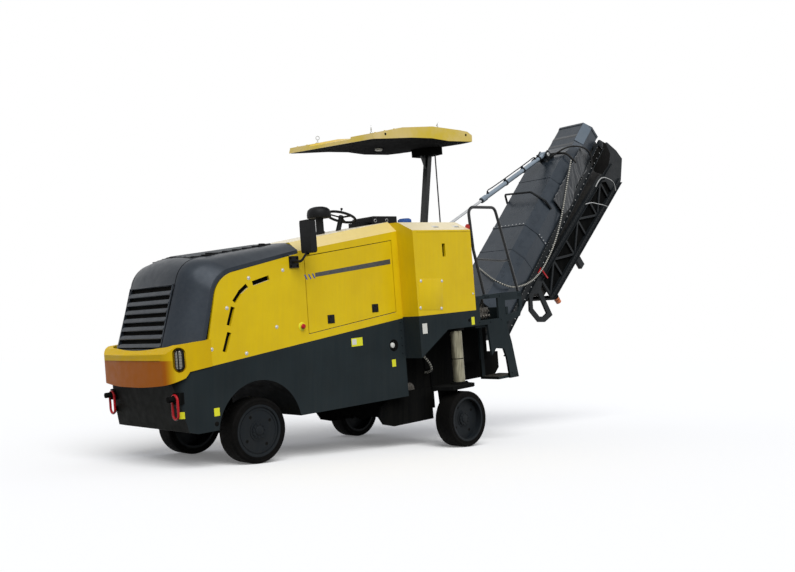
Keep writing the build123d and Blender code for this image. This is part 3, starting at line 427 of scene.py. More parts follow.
# the inner wall of each rear wheel house, cut from 4 mm plate, near black as painted shade under the
# machine:
# its half width, and x, z round its edge
HOUSE_Y = 561
HOUSE_EDGE = ((-2600, 640), (-2690, 640), (-2690, 350), (-3040, 350), (-3120, 640), (-3786, 640),
              (-3786, 1330), (-2600, 1330))
for side, out in SIDES:
    bm = bmesh.new()
    sheet_cut(bm, HOUSE_EDGE, 4, upright(HOUSE_Y * out, out))
    settle(bm, "wheel_house_" + side, "machine", black_and_shade_low)


# ---------------------------------------------------------------- tow pins and lashing links
# Two turned steel pins stand on the nose, sprayed black, with a red forged link hanging on each.
# The links are round bar, closed by welding.
def bare_steel():
    """Machined steel that has lain outdoors: grey with a thin brown film in 25 mm patches."""
    made, tree, shader, place = begin("weathered_steel")
    base = mixed(tree, speckle(tree, place, 25, 0, 1, detail=8), "#7d7a74", "#4a443d")
    tree.links.new(base, shader.inputs["Base Color"])
    tree.links.new(speckle(tree, place, 14, 0.35, 0.65), shader.inputs["Roughness"])
    shader.inputs["Metallic"].default_value = 0.7
    return made


weathered_steel = bare_steel()
red_enamel = enamel("red_enamel_links", "#c20c1c", "#9c0814", 0.04, gloss=0.35, level=0.25)
finish(("tow_pins",), black_and_shade_low)


def ring_bar(bm, loop, across, radius, steps=14):
    """A closed round bar that follows loop, which lies in the plane square to across."""
    rows = []
    for k, point in enumerate(loop):
        along = (loop[(k + 1) % len(loop)] - loop[k - 1]).normalized()
        side = along.cross(across)
        turns = [2 * math.pi * j / steps for j in range(steps)]
        rows.append([bm.verts.new(point + across * math.cos(a) * radius + side * math.sin(a) * radius)
                     for a in turns])
    for k in range(len(rows)):
        near, far = rows[k - 1], rows[k]
        for j in range(steps):
            bm.faces.new((near[j - 1], near[j], far[j], far[j - 1]))


# where the links hang, the length of their straight sides and half their width
LINK_X, LINK_Y, LINK_TOP, LINK_DROP, LINK_HALF = 872, 645, 780, 130, 50
bm = bmesh.new()
for side, out in SIDES:
    loop = []
    for k in range(24):
        a = 2 * math.pi * (k + 0.5) / 24
        rise = LINK_HALF * math.sin(a) - (0 if math.sin(a) > 0 else LINK_DROP)
        loop.append(Vector((LINK_X, LINK_Y * out + LINK_HALF * math.cos(a), LINK_TOP - 26 + rise)))
    ring_bar(bm, loop, Vector((1, 0, 0)), 12.5)
link = settle(bm, "lashing_links", "machine", red_enamel)
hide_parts("tow_links")


# ---------------------------------------------------------------- front wheels and axle
# Press-on solid tyres on welded steel wheels: smooth tread with a worn bevel, one moulded ring on the wall.
# Front discs are flat with four handling holes and a ring of hub bolts; the rear ones are deeply dished.
def tyre_rubber():
    """Solid rubber: near black in 60 mm patches, with a little dust and a 5 mm grain drawn at 8."""
    made, tree, shader, place = begin("solid_tyre_rubber")
    base = mixed(tree, speckle(tree, place, 60, 0, 0.5, detail=8), "#050505", "#090909")
    dusty = speckle(tree, place, 190, 0.0, 0.06, detail=8)
    base = mixed(tree, dusty, base, "#3a3630")
    tree.links.new(base, shader.inputs["Base Color"])
    tree.links.new(speckle(tree, place, 30, 0.62, 0.85), shader.inputs["Roughness"])
    shader.inputs["Specular IOR Level"].default_value = 0.05
    grain = add(tree, "ShaderNodeTexNoise", {"Scale": 125, "Detail": 4}, {"Vector": place})
    skin = add(tree, "ShaderNodeBump", {"Strength": 0.35, "Distance": 0.002},
               {"Height": grain.outputs["Fac"]})
    tree.links.new(skin.outputs[0], shader.inputs["Normal"])
    return made


solid_rubber = tyre_rubber()
wheel_enamel = enamel("slate_enamel_wheels", "#151b20", "#11161a", 0.05, gloss=0.45, level=0.1)
finish(("front_rim_left", "front_rim_right", "rear_rim_left", "rear_rim_right"), wheel_enamel)
finish(("front_axle", "knuckle_left", "knuckle_right", "leg_arm_left", "leg_arm_right"), black_and_shade_low)

RIM_R = 264
# the circles of the hub's ten bolts and of the disc's four handling holes
HUB_BOLTS_R, HANDLING_R = 66, 168
WHEELBASE = 2740
REAR_AXLE = (-WHEELBASE * math.cos(PITCH), TYRE_R - WHEELBASE * math.sin(PITCH))
# the tyre's section from one bead to the other: radius, distance across
TYRE_SECTION = ((RIM_R, -118), (282, -120), (288, -117), (294, -117), (299, -120), (310, -120),
                (320, -115), (327, -106), (330, -94), (330, 94), (327, 106), (320, 115), (310, 120),
                (299, 120), (294, 117), (288, 117), (282, 120), (RIM_R, 118))
for end, axle_x, axle_z, wheel_y in (("front", 0, TYRE_R, 610), ("rear", REAR_AXLE[0], REAR_AXLE[1], 980)):
    for side, out in SIDES:
        centre = (axle_x, wheel_y * out, axle_z)
        body = end + "_wheel_" + side
        bm = bmesh.new()
        turned(bm, list(TYRE_SECTION) + [TYRE_SECTION[0]], aim(centre, (0, out, 0)), 96)
        tyre = settle(bm, end + "_solid_tyre_" + side, body, solid_rubber)
        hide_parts(end + "_tyre_" + side)

        # the wheel's rim step, bolt ring and hub cap, and its handling holes as black discs: painted shade
        bm = bmesh.new()
        face = 100 if end == "front" else 40
        turned(bm, [(RIM_R - 27, face + 2), (RIM_R - 27, 114), (RIM_R - 20, 117), (RIM_R - 3, 117),
                    (RIM_R - 3, 108), (RIM_R - 24, 108), (RIM_R - 24, face + 2), (RIM_R - 27, face + 2)],
               aim(centre, (0, out, 0)), 96)
        if end == "front":
            turned(bm, [(206, face), (208, face + 5), (222, face + 5), (224, face), (206, face)],
                   aim(centre, (0, out, 0)), 72)
        cap = face + 14 if end == "front" else 60
        turned(bm, [(0, cap + 9), (40, cap + 9), (46, cap + 5), (47, cap), (0, cap)],
               aim(centre, (0, out, 0)), 40)
        for k in range(10):
            a = 2 * math.pi * k / 10
            across, up = HUB_BOLTS_R * math.cos(a), HUB_BOLTS_R * math.sin(a)
            hex_bolt(bm, (axle_x + across, (wheel_y + cap) * out, axle_z + up), (0, out, 0), 13)
        settle(bm, end + "_wheel_trim_" + side, body, wheel_enamel)
        bm = bmesh.new()
        for k in range(4):
            a = math.pi * (0.25 + 0.5 * k) + 0.25
            across, up = HANDLING_R * math.cos(a), HANDLING_R * math.sin(a)
            at = (axle_x + across, (wheel_y + face) * out, axle_z + up)
            turned(bm, [(0, 0.6), (13, 0.6), (15, 1.6), (17, 0), (0, 0)], aim(at, (0, out, 0)), 20)
        settle(bm, end + "_wheel_hole_shade_" + side, body, black_rubber_and_shade)


# ---------------------------------------------------------------- rear legs
# Each rear wheel hangs on a chromed column that a cylinder runs out; the chrome is filmed with oily dust.
# The column's foot is bolted to the wheel's arm, and a collar under the wing guides it.
def dusty_chrome():
    """Hard chrome under an oily dust film: bright metal broken by vertical wipe marks 30 mm apart."""
    made, tree, shader, place = begin("dusty_hard_chrome")
    wipes = speckle(tree, place, 30, 0, 1, stretch=(1, 1, 0.12), detail=6)
    base = mixed(tree, wipes, "#a39f88", "#5f5a48")
    tree.links.new(base, shader.inputs["Base Color"])
    tree.links.new(speckle(tree, place, 45, 0.3, 0.6, detail=6), shader.inputs["Roughness"])
    shader.inputs["Metallic"].default_value = 0.55
    return made


column_chrome = dusty_chrome()
finish(("leg_column_left", "leg_column_right"), column_chrome)
# the column's place behind the axle, and the height of its flange over the tyre
LEG = (REAR_AXLE[0] - 115, 897)
LEG_TOP = REAR_AXLE[1] + TYRE_R + 75
for side, out in SIDES:
    # the column's foot flange with its bolts, and the guide collar under the wing
    bm = bmesh.new()
    turned(bm, [(73, 0), (108, 0), (108, 14), (102, 20), (76, 20), (73, 26), (73, 0)],
           aim((LEG[0], LEG[1] * out, LEG_TOP), (0, 0, 1)), 48)
    for k in range(8):
        a = 2 * math.pi * k / 8 + 0.2
        at = (LEG[0] + 92 * math.cos(a), LEG[1] * out + 92 * math.sin(a), LEG_TOP + 18)
        hex_bolt(bm, at, (0, 0, 1), 13)
    turned(bm, [(73.2, 300), (74.5, 301), (74.5, 309), (73.2, 310), (73.2, 300)],
           aim((LEG[0], LEG[1] * out, LEG_TOP), (0, 0, 1)), 48)
    settle(bm, "leg_flange_" + side, "leg_" + side, black_and_shade_low)
    bm = bmesh.new()
    turned(bm, [(74, -34), (98, -34), (104, -28), (104, -2), (74, -2), (74, -34)],
           aim((LEG[0], LEG[1] * out, 1120), (0, 0, 1)), 48)
    settle(bm, "column_collar_" + side, "machine", black_and_shade_low)


# ---------------------------------------------------------------- milling drum
# A steel tube set with conical tools in holders that are welded on in three helical rows.
# Everything is polished grey-brown by the road.
finish(("drum",), weathered_steel)


# ---------------------------------------------------------------- engine hood
# A glass-fibre moulding over the engine, gel-coated slate grey with a satin sheen.  Its middle panel is a
# separate lift-off piece with a louvred nose and a wire-mesh top.
# the gloss of slate paint is tinted as the sky is
SKY_TINT = (0.78, 0.88, 1, 1)


def gel_coat():
    """Satin gel coat: smooth, long soft waves of 200 mm from the mould and a faint 4 mm print-through."""
    made, tree, shader, place = begin("slate_gel_coat")
    base = mixed(tree, speckle(tree, place, 300, 0, 1), "#1f252c", "#191e25")
    base = mixed(tree, speckle(tree, place, 45, 0, 0.05, detail=8), base, "#6b6c6b")
    tree.links.new(base, shader.inputs["Base Color"])
    tree.links.new(speckle(tree, place, 70, 0.34, 0.46, detail=6), shader.inputs["Roughness"])
    shader.inputs["Specular IOR Level"].default_value = 0.3
    shader.inputs["Specular Tint"].default_value = SKY_TINT
    shader.inputs["Coat Weight"].default_value = 0.04
    shader.inputs["Coat Roughness"].default_value = 0.2
    broad = add(tree, "ShaderNodeTexNoise", {"Scale": 5, "Detail": 1}, {"Vector": place})
    fine = add(tree, "ShaderNodeTexNoise", {"Scale": 250, "Detail": 2}, {"Vector": place})
    wave = add(tree, "ShaderNodeBump", {"Strength": 0.2, "Distance": 0.01}, {"Height": broad.outputs["Fac"]})
    skin = add(tree, "ShaderNodeBump", {"Strength": 0.2, "Distance": 0.0004},
               {"Height": fine.outputs["Fac"], "Normal": wave.outputs[0]})
    tree.links.new(skin.outputs[0], shader.inputs["Normal"])
    return made


def moulded_black():
    """Injection-moulded black plastic with a leather grain of 2 mm, drawn as 4."""
    made, tree, shader, place = begin("grained_black_plastic")
    base = mixed(tree, speckle(tree, place, 80, 0, 1), "#0c0d0e", "#121315")
    tree.links.new(base, shader.inputs["Base Color"])
    tree.links.new(speckle(tree, place, 20, 0.42, 0.6), shader.inputs["Roughness"])
    shader.inputs["Specular IOR Level"].default_value = 0.15
    cells = add(tree, "ShaderNodeTexVoronoi", {"Scale": 250}, {"Vector": place})
    skin = add(tree, "ShaderNodeBump", {"Strength": 0.3, "Distance": 0.0008},
               {"Height": cells.outputs["Distance"]})
    tree.links.new(skin.outputs[0], shader.inputs["Normal"])
    return made


hood_coat = gel_coat()
grained_plastic = moulded_black()
finish(("hood",), hood_coat)
finish(("engine_block",), weathered_steel)

# the hood's crown line: brow corner and rear edge on the centre plane, then at the shoulder: x, z
CROWN = (((600, 2128), (-640, 2252)), ((590, 2082), (-640, 2236)))
# half width to the lift-off panel's seam, and to the shoulder where the moulding starts to round off
SEAM_Y, SHOULDER_Y = 447, 455


def crown_z(x, y):
    """Height of the hood's top surface between its two shoulders."""
    heights = []
    for (x0, z0), (x1, z1) in CROWN:
        heights.append(z0 + (z1 - z0) * (x - x0) / (x1 - x0))
    return heights[0] + (heights[1] - heights[0]) * min(abs(y) / SHOULDER_Y, 1)


# the wire mesh, in squares of about 25 mm, its dark screen 9 mm below, painted shade of the hood's inside,
# then its edge frame
MESH_X, MESH_Y = (-560, 430), 380
bm = bmesh.new()
bmesh.ops.create_grid(bm, x_segments=36, y_segments=30, size=0.5)
bmesh.ops.transform(bm, matrix=Matrix.Diagonal((MESH_X[1] - MESH_X[0], 2 * MESH_Y, 1, 1)), verts=bm.verts)
bmesh.ops.translate(bm, vec=(sum(MESH_X) / 2, 0, 0), verts=bm.verts)
for v in bm.verts:
    v.co.z = crown_z(v.co.x, v.co.y) + 3
screen = bm.copy()
bmesh.ops.wireframe(bm, faces=bm.faces, thickness=6, offset=0, use_replace=True, use_boundary=True,
                    use_even_offset=False)
bmesh.ops.translate(bm, vec=(0, 0, 9), verts=bm.verts)
mesh_wire = enamel("galvanised_wire", "#5d6062", "#4a4d4f", 0.0, gloss=0.45, level=0.4)
settle(bm, "hood_wire_mesh", "machine", mesh_wire)
made = bmesh.ops.extrude_face_region(screen, geom=list(screen.faces))
under = [g for g in made["geom"] if isinstance(g, bmesh.types.BMVert)]
bmesh.ops.translate(screen, vec=(0, 0, -2), verts=under)
settle(screen, "hood_mesh_shade_sheet", "machine", black_rubber_and_shade)

bm = bmesh.new()
for y in (-MESH_Y - 12, MESH_Y):
    for k in range(8):
        a = MESH_X[0] + (MESH_X[1] - MESH_X[0]) * k / 8
        b = MESH_X[0] + (MESH_X[1] - MESH_X[0]) * (k + 1) / 8
        block(bm, (a, y, crown_z((a + b) / 2, y) - 6), (b, y + 12, crown_z((a + b) / 2, y) + 14), bevel=2)
for x in (MESH_X[0], MESH_X[1] - 12):
    for k in range(8):
        a, b = -MESH_Y + 2 * MESH_Y * k / 8, -MESH_Y + 2 * MESH_Y * (k + 1) / 8
        block(bm, (x, a, crown_z(x, (a + b) / 2) - 6), (x + 12, b, crown_z(x, (a + b) / 2) + 14), bevel=2)
# four toggle latches hold the lift-off panel along its seams
for x, y in ((235, SEAM_Y - 30), (235, 30 - SEAM_Y), (-425, SEAM_Y - 32), (-425, 32 - SEAM_Y)):
    z = crown_z(x, y)
    block(bm, (x - 55, y - 22, z - 4), (x + 55, y + 22, z + 12), bevel=4)
    block(bm, (x - 30, y - 12, z + 12), (x + 42, y + 12, z + 30), bevel=6, segments=3)
settle(bm, "hood_mesh_frame", "machine", grained_plastic)

# a black sheet close behind the louvres, inside the moulding: painted shade of the hood's dark inside
FOOT, BROW = (885, 1190), (600, 2128)
SLOPE = math.hypot(BROW[0] - FOOT[0], BROW[1] - FOOT[1])
UP = ((BROW[0] - FOOT[0]) / SLOPE, (BROW[1] - FOOT[1]) / SLOPE)
NOSE = Matrix(((UP[0], 0, UP[1], FOOT[0]), (0, 1, 0, 0), (UP[1], 0, -UP[0], FOOT[1]), (0, 0, 0, 1)))

bm = bmesh.new()
block(bm, (44, -440, -34), (702, 440, -30), bevel=0, place=NOSE)
settle(bm, "louvre_shade_sheet", "machine", black_rubber_and_shade)

# the same black sheet in a strip behind the side panels' air slots, painted shade, 4 mm thick: x, z along
# its middle
SLOT_LINE = ((352, 1130), (262, 1400), (200, 1620), (120, 1735), (20, 1800), (-280, 1872))
STRIP_HALF = 55
for side, y in (("left", 689), ("right", -693)):
    edges = ([], [])
    for k, (x, z) in enumerate(SLOT_LINE):
        (xa, za), (xb, zb) = SLOT_LINE[max(k - 1, 0)], SLOT_LINE[min(k + 1, len(SLOT_LINE) - 1)]
        aside = Vector((zb - za, xa - xb)).normalized() * STRIP_HALF
        edges[0].append((x + aside.x, z + aside.y))
        edges[1].append((x - aside.x, z - aside.y))
    bm = bmesh.new()
    sheet_cut(bm, edges[0] + edges[1][::-1], 4, upright(y, 1))
    settle(bm, "slot_shade_sheet_" + side, "machine", black_rubber_and_shade)

# the moulding itself: its sections at y, each with its foot, brow corner, rear edge and brow radius
OUTER = ((0, 885, 1190, 600, 2128, -640, 2252, 280), (SHOULDER_Y, 885, 1190, 590, 2082, -640, 2236, 280),
         (600, 790, 1190, 525, 2045, -640, 2215, 290), (735, 610, 1190, 405, 1945, -640, 2140, 320))
INNER = ((0, 850, 1180, 573, 2095, -645, 2219, 250), (SHOULDER_Y, 850, 1180, 563, 2049, -645, 2203, 250),
         (600, 755, 1180, 495, 2010, -645, 2180, 260), (735, 575, 1180, 372, 1908, -645, 2104, 290))
# the louvred opening: from and to along the section's line from its foot, half width
OPENING = (54, 690, 430)


def blended(rows, y):
    """The section's sizes at y, on a smooth curve through the rows."""
    slopes = []
    for k in range(len(rows)):
        near, far = rows[max(k - 1, 0)], rows[min(k + 1, len(rows) - 1)]
        slopes.append([(b - a) / (far[0] - near[0]) if k else 0 for a, b in zip(near, far)])
    for k in range(len(rows) - 1):
        y0, y1 = rows[k][0], rows[k + 1][0]
        if y0 <= y <= y1:
            t, run = (y - y0) / (y1 - y0), y1 - y0
            return [(2 * t ** 3 - 3 * t ** 2 + 1) * a + (t ** 3 - 2 * t ** 2 + t) * run * ma
                    + (3 * t ** 2 - 2 * t ** 3) * b + (t ** 3 - t ** 2) * run * mb
                    for a, b, ma, mb in zip(rows[k], rows[k + 1], slopes[k], slopes[k + 1])]
    return list(rows[-1])


def section_line(sizes, y):
    """Points up the nose, round the brow and back along the top."""
    foot, corner, rear = (Vector((sizes[k], y, sizes[k + 1])) for k in (1, 3, 5))
    radius = sizes[7]
    up, back = (corner - foot).normalized(), (rear - corner).normalized()
    half = (math.pi - up.angle(back)) / 2
    reach = radius / math.tan(half)
    start, end = corner - up * reach, corner + back * reach
    centre = corner + (back - up).normalized() * (radius / math.sin(half))
    steps = [0, OPENING[0]] + [OPENING[0] + (OPENING[1] - OPENING[0]) * k / 8 for k in range(1, 9)]
    fit = min(1, ((start - foot).length - 20) / OPENING[1])
    points = [foot + up * s * fit for s in steps]
    sweep = math.pi - 2 * half
    for k in range(17):
        a = sweep * k / 16
        points.append(centre + (start - centre) * math.cos(a) + up * radius * math.sin(a))
    return points + [end + (rear - end) * k / 14 for k in range(1, 15)]


HOOD_Y = sorted({side * y for side in (-1, 1) for y in
                 [0, 110, 220, 330, OPENING[2]] + [SHOULDER_Y + 14 * k for k in range(20)] + [728, 735]})
bm = bmesh.new()
skins = []
for rows in (OUTER, INNER):
    skins.append([[bm.verts.new(p) for p in section_line(blended(rows, abs(y)), y)] for y in HOOD_Y])
last = len(skins[0][0]) - 1
for skin in skins:
    for k in range(len(HOOD_Y) - 1):
        for j in range(last):
            open_here = max(abs(HOOD_Y[k]), abs(HOOD_Y[k + 1])) <= OPENING[2] and 1 <= j < 9
            if not open_here:
                bm.faces.new((skin[k][j], skin[k + 1][j], skin[k + 1][j + 1], skin[k][j + 1]))
outer, inner = skins
for k in range(len(HOOD_Y) - 1):
    for j in (0, last):
        bm.faces.new((outer[k][j], outer[k + 1][j], inner[k + 1][j], inner[k][j]))
    if max(abs(HOOD_Y[k]), abs(HOOD_Y[k + 1])) <= OPENING[2]:
        for j in (1, 9):
            bm.faces.new((outer[k][j], outer[k + 1][j], inner[k + 1][j], inner[k][j]))
for k in (0, len(HOOD_Y) - 1):
    for j in range(last):
        bm.faces.new((outer[k][j], outer[k][j + 1], inner[k][j + 1], inner[k][j]))
for y in (-OPENING[2], OPENING[2]):
    k = HOOD_Y.index(y)
    for j in range(1, 9):
        bm.faces.new((outer[k][j], outer[k][j + 1], inner[k][j + 1], inner[k][j]))

# its seven louvre blades: each stands proud at its foot and dips under a dark gap
for k in range(7):
    s = 66 + 88 * k
    outline = ((s, -28), (s, 4), (s + 5, 9), (s + 12, 9), (s + 46, -6), (s + 46, -28))
    cuts = [[bm.verts.new((x, y, d)) for x, d in outline] for y in (-OPENING[2] + 1, OPENING[2] - 1)]
    for cut in cuts:
        bmesh.ops.transform(bm, matrix=NOSE, verts=cut)
        bm.faces.new(cut)
    for j in range(len(outline)):
        bm.faces.new((cuts[0][j - 1], cuts[0][j], cuts[1][j], cuts[1][j - 1]))
# a raised lip frames the opening
for low, high in (((42, -442, -8), (54, 442, 4)), ((690, -442, -8), (702, 442, 4)),
                  ((42, 430, -8), (702, 442, 4)), ((42, -442, -8), (702, -430, 4))):
    block(bm, low, high, bevel=3, place=NOSE)
shell = settle(bm, "hood_moulding", "machine", hood_coat, crease=42)
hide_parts("hood")

# the shadowed seam on either side of the lift-off panel, drawn as black strips: painted shadow
bm = bmesh.new()
for side in (-1, 1):
    rows = []
    for y in (SEAM_Y - 4, SEAM_Y + 4):
        line = section_line(blended(OUTER, y), y * side)
        rows.append(([bm.verts.new(p + Vector((0.9, 0, 0.9))) for p in line],
                     [bm.verts.new(p - Vector((3, 0, 3))) for p in line]))
    (near, near_low), (far, far_low) = rows
    for k in range(len(near) - 1):
        bm.faces.new((near[k], far[k], far[k + 1], near[k + 1]))
        bm.faces.new((near_low[k], far_low[k], far_low[k + 1], near_low[k + 1]))
        bm.faces.new((near[k], near[k + 1], near_low[k + 1], near_low[k]))
        bm.faces.new((far[k], far[k + 1], far_low[k + 1], far_low[k]))
    for k in (0, len(near) - 1):
        bm.faces.new((near[k], far[k], far_low[k], near_low[k]))
settle(bm, "hood_seams", "machine", black_rubber_and_shade)


# ---------------------------------------------------------------- bumper and lamps
# A heavy pressed steel bumper, sprayed the machine's yellow, with an upright lamp let into each corner.
# Each lamp is a silvered reflector behind a clear lens, in a black rubber pocket.
# the bumper's face below its bead is darkened to orange-brown: painted shade
yellow_bumper = enamel("yellow_enamel_bumper", "#d8b40a", "#cea808", 0.02, gloss=0.45, level=0.12,
                       front="#a65a04")
finish(("bumper",), yellow_bumper)


def lamp_glass():
    """Clear polycarbonate over a ribbed silvered reflector: its 14 mm ribs painted as light and dark bars, a
    painted reflection.
    """
    made, tree, shader, place = begin("fluted_lamp_lens")
    # light and dark bars of the reflector's ribs: painted reflection
    flute_glints = add(tree, "ShaderNodeTexWave", {"Scale": 22, "Distortion": 1.5}, {"Vector": place},
                 bands_direction="Z")
    base = mixed(tree, flute_glints.outputs["Fac"], "#2b2a26", "#8b897f")
    tree.links.new(base, shader.inputs["Base Color"])
    tree.links.new(speckle(tree, place, 30, 0.08, 0.25), shader.inputs["Roughness"])
    shader.inputs["Metallic"].default_value = 0.4
    shader.inputs["Coat Weight"].default_value = 0.8
    shader.inputs["Coat Roughness"].default_value = 0.05
    return made


lamp_lens = lamp_glass()
finish(("headlamps",), black_rubber_and_shade)
for side, out in SIDES:
    corner = aim((838, 722 * out, 1135), (0.72, 0.69 * out, 0))
    if abs((corner.to_3x3() @ Vector((1, 0, 0))).z) > 0.5:
        corner = corner @ Matrix.Rotation(math.pi / 2, 4, "Z")
    # the one tall lens, a rounded bar, then the black bezel round its rim
    bm = bmesh.new()
    outline = []
    for k in range(32):
        a = 2 * math.pi * (k + 0.5) / 32
        outline.append((31 * math.cos(a), 31 * math.sin(a) + math.copysign(58, math.sin(a))))
    sheet_cut(bm, outline, 16, corner, bevel=6)
    settle(bm, "lamp_lens_" + side, "machine", lamp_lens)
    bm = bmesh.new()
    loop = [corner @ Vector((x * 1.16, y * 1.07, 8)) for x, y in outline]
    ring_bar(bm, loop, (corner.to_3x3() @ Vector((0, 0, 1))).normalized(), 5, steps=8)
    settle(bm, "lamp_bezel_" + side, "machine", grained_plastic)

# the pressed bead where the bumper's lip meets its face: the foremost x and the radius of the bow
BUMPER_X, BUMPER_R = 990, 3940
bm = bmesh.new()
for k in range(28):
    y0, y1 = -560 + 40 * k, -520 + 40 * k
    x0 = BUMPER_X - BUMPER_R + math.sqrt(BUMPER_R ** 2 - y0 ** 2)
    x1 = BUMPER_X - BUMPER_R + math.sqrt(BUMPER_R ** 2 - y1 ** 2)
    strip = ((x0 - 8, y0), (x0 + 5, y0), (x1 + 5, y1), (x1 - 8, y1))
    sheet_cut(bm, strip, 9, Matrix.Translation((0, 0, 1140)))
settle(bm, "bumper_bead", "machine", yellow_bumper)


# ---------------------------------------------------------------- engine side panels and doors
# Flat 3 mm panels with a top-hinged service door; a slate stripe runs along the door, and six domed
# zinc screws hold the front panel.  An emergency-stop button sits behind the front panel.
# its upward faces are paled to cream: a painted highlight
yellow = enamel("yellow_enamel", "#e2c20a", "#dab808", 0.02, gloss=0.34, level=0.22, top_glare="#e6dcc2")
finish(("side_panels", "deck", "door_left", "door_right"), yellow)
blue_vinyl = sticker("blue_vinyl", "#1c3f9e")
slate_vinyl = sticker("slate_vinyl", "#2a2f36")
PANEL_SCREWS = ((486, 1200), (90, 1120), (-302, 1352), (280, 1586), (-1, 1870), (-433, 1933))
STRIPE = ((-858, 1842), (-1985, 1943), (-1985, 2001), (-858, 1886))
# the latches' centres on the door: x, z
LATCHES = ((-1031, 1376), (-1690, 1450))
FLANK_Y = 735
for side, out in SIDES:
    flank = upright(FLANK_Y * out, out)
    bm = bmesh.new()
    for x, z in PANEL_SCREWS:
        turned(bm, [(0, 9), (7, 8), (12, 5), (14, 2), (19, 1.5), (19, 0), (0, 0)],
               aim((x, FLANK_Y * out, z), (0, out, 0)), 20)
    settle(bm, "panel_screws_" + side, "machine", zinc_plate)

    bm = bmesh.new()
    sheet_cut(bm, STRIPE, 0.8, flank)
    settle(bm, "door_stripe_" + side, "door_" + side, slate_vinyl)
    bm = bmesh.new()
    for k in range(3):
        x = -728 - 52 * k
        z = 1846 + 4 * k
        sheet_cut(bm, ((x - 26, z - 26), (x - 8, z - 26), (x + 20, z + 26), (x + 2, z + 26)), 0.8, flank)
    settle(bm, "door_bars_" + side, "door_" + side, blue_vinyl)

    # flush paddle latches: a black frame, a sunk well and the paddle
    bm = bmesh.new()
    for x, z in LATCHES:
        block(bm, (x - 48, 0, z - 46), (x + 48, 8, z + 46), bevel=4)
        block(bm, (x - 30, 6, z - 34), (x + 30, 13, z + 10), bevel=3)
        turned(bm, [(0, 15), (9, 15), (11, 12), (11, 6), (0, 6)], aim((x, 0, z + 26), (0, 1, 0)), 20)
    bmesh.ops.scale(bm, vec=(1, out, 1), verts=bm.verts)
    bmesh.ops.translate(bm, vec=(0, FLANK_Y * out, 0), verts=bm.verts)
    settle(bm, "door_latches_" + side, "door_" + side, grained_plastic)

    # emergency stop: yellow collar and red mushroom
    stop = aim((-628, FLANK_Y * out, 1329), (0, out, 0))
    bm = bmesh.new()
    turned(bm, [(0, 6), (38, 6), (44, 3), (45, 0), (0, 0)], stop, 32)
    settle(bm, "stop_collar_" + side, "machine", yellow_vinyl)
    bm = bmesh.new()
    turned(bm, [(0, 40), (18, 38), (26, 32), (28, 25), (24, 20), (14, 17), (14, 5), (0, 5)], stop, 32)
    settle(bm, "stop_button_" + side, "machine", red_enamel)

    # black rubber edge between the hood's rear and the panel
    bm = bmesh.new()
    y0, y1 = sorted(((FLANK_Y - 150) * out, (FLANK_Y - 2) * out))
    block(bm, (-652, y0, 2128), (-634, y1, 2132), bevel=0)
    settle(bm, "hood_edge_rubber_" + side, "machine", black_rubber_and_shade)


# ---------------------------------------------------------------- operator's end
# Two sheet-steel tool boxes flank the platform; each lid has two flush pulls, each side a screwed access
# cover.  The platform's floor is tread plate.  The water filler's cap is blue plastic.
BOX_Y = 1000
# corners of the access cover, and how far in from each its screw sits: x, z
ACCESS = ((-2170, 1743), (-2576, 1724), (-2534, 1358), (-2131, 1386))
SCREW_INSET = ((-26, -24), (26, -22), (26, 22), (-26, 24))


def blue_moulding():
    """Blue polypropylene, smooth with faint flow marks of 40 mm."""
    made, tree, shader, place = begin("blue_polypropylene")
    base = mixed(tree, speckle(tree, place, 40, 0, 1), "#1d4f9c", "#174384")
    tree.links.new(base, shader.inputs["Base Color"])
    tree.links.new(speckle(tree, place, 25, 0.35, 0.5), shader.inputs["Roughness"])
    return made


def tread_plate():
    """Painted tread plate: raised lozenges 30 mm apart, worn to grey on their tops."""
    made, tree, shader, place = begin("tread_plate")
    turned_place = add(tree, "ShaderNodeMapping", {"Rotation": (0, 0, 0.785)}, {"Vector": place})
    cells = add(tree, "ShaderNodeTexVoronoi", {"Scale": 33, "Randomness": 0},
                {"Vector": turned_place.outputs[0]})
    tops = add(tree, "ShaderNodeMapRange", {"From Min": 0.2, "From Max": 0.35, "To Min": 1, "To Max": 0},
               {"Value": cells.outputs["Distance"]}).outputs[0]
    base = mixed(tree, tops, "#1a1b1d", "#4c4b48")
    tree.links.new(base, shader.inputs["Base Color"])
    tree.links.new(speckle(tree, place, 60, 0.45, 0.65), shader.inputs["Roughness"])
    skin = add(tree, "ShaderNodeBump", {"Strength": 0.6, "Distance": 0.003}, {"Height": tops})
    tree.links.new(skin.outputs[0], shader.inputs["Normal"])
    return made


floor_plate = tread_plate()
blue_plastic = blue_moulding()
finish(("rear_boxes",), yellow)
finish(("water_cap",), blue_plastic)

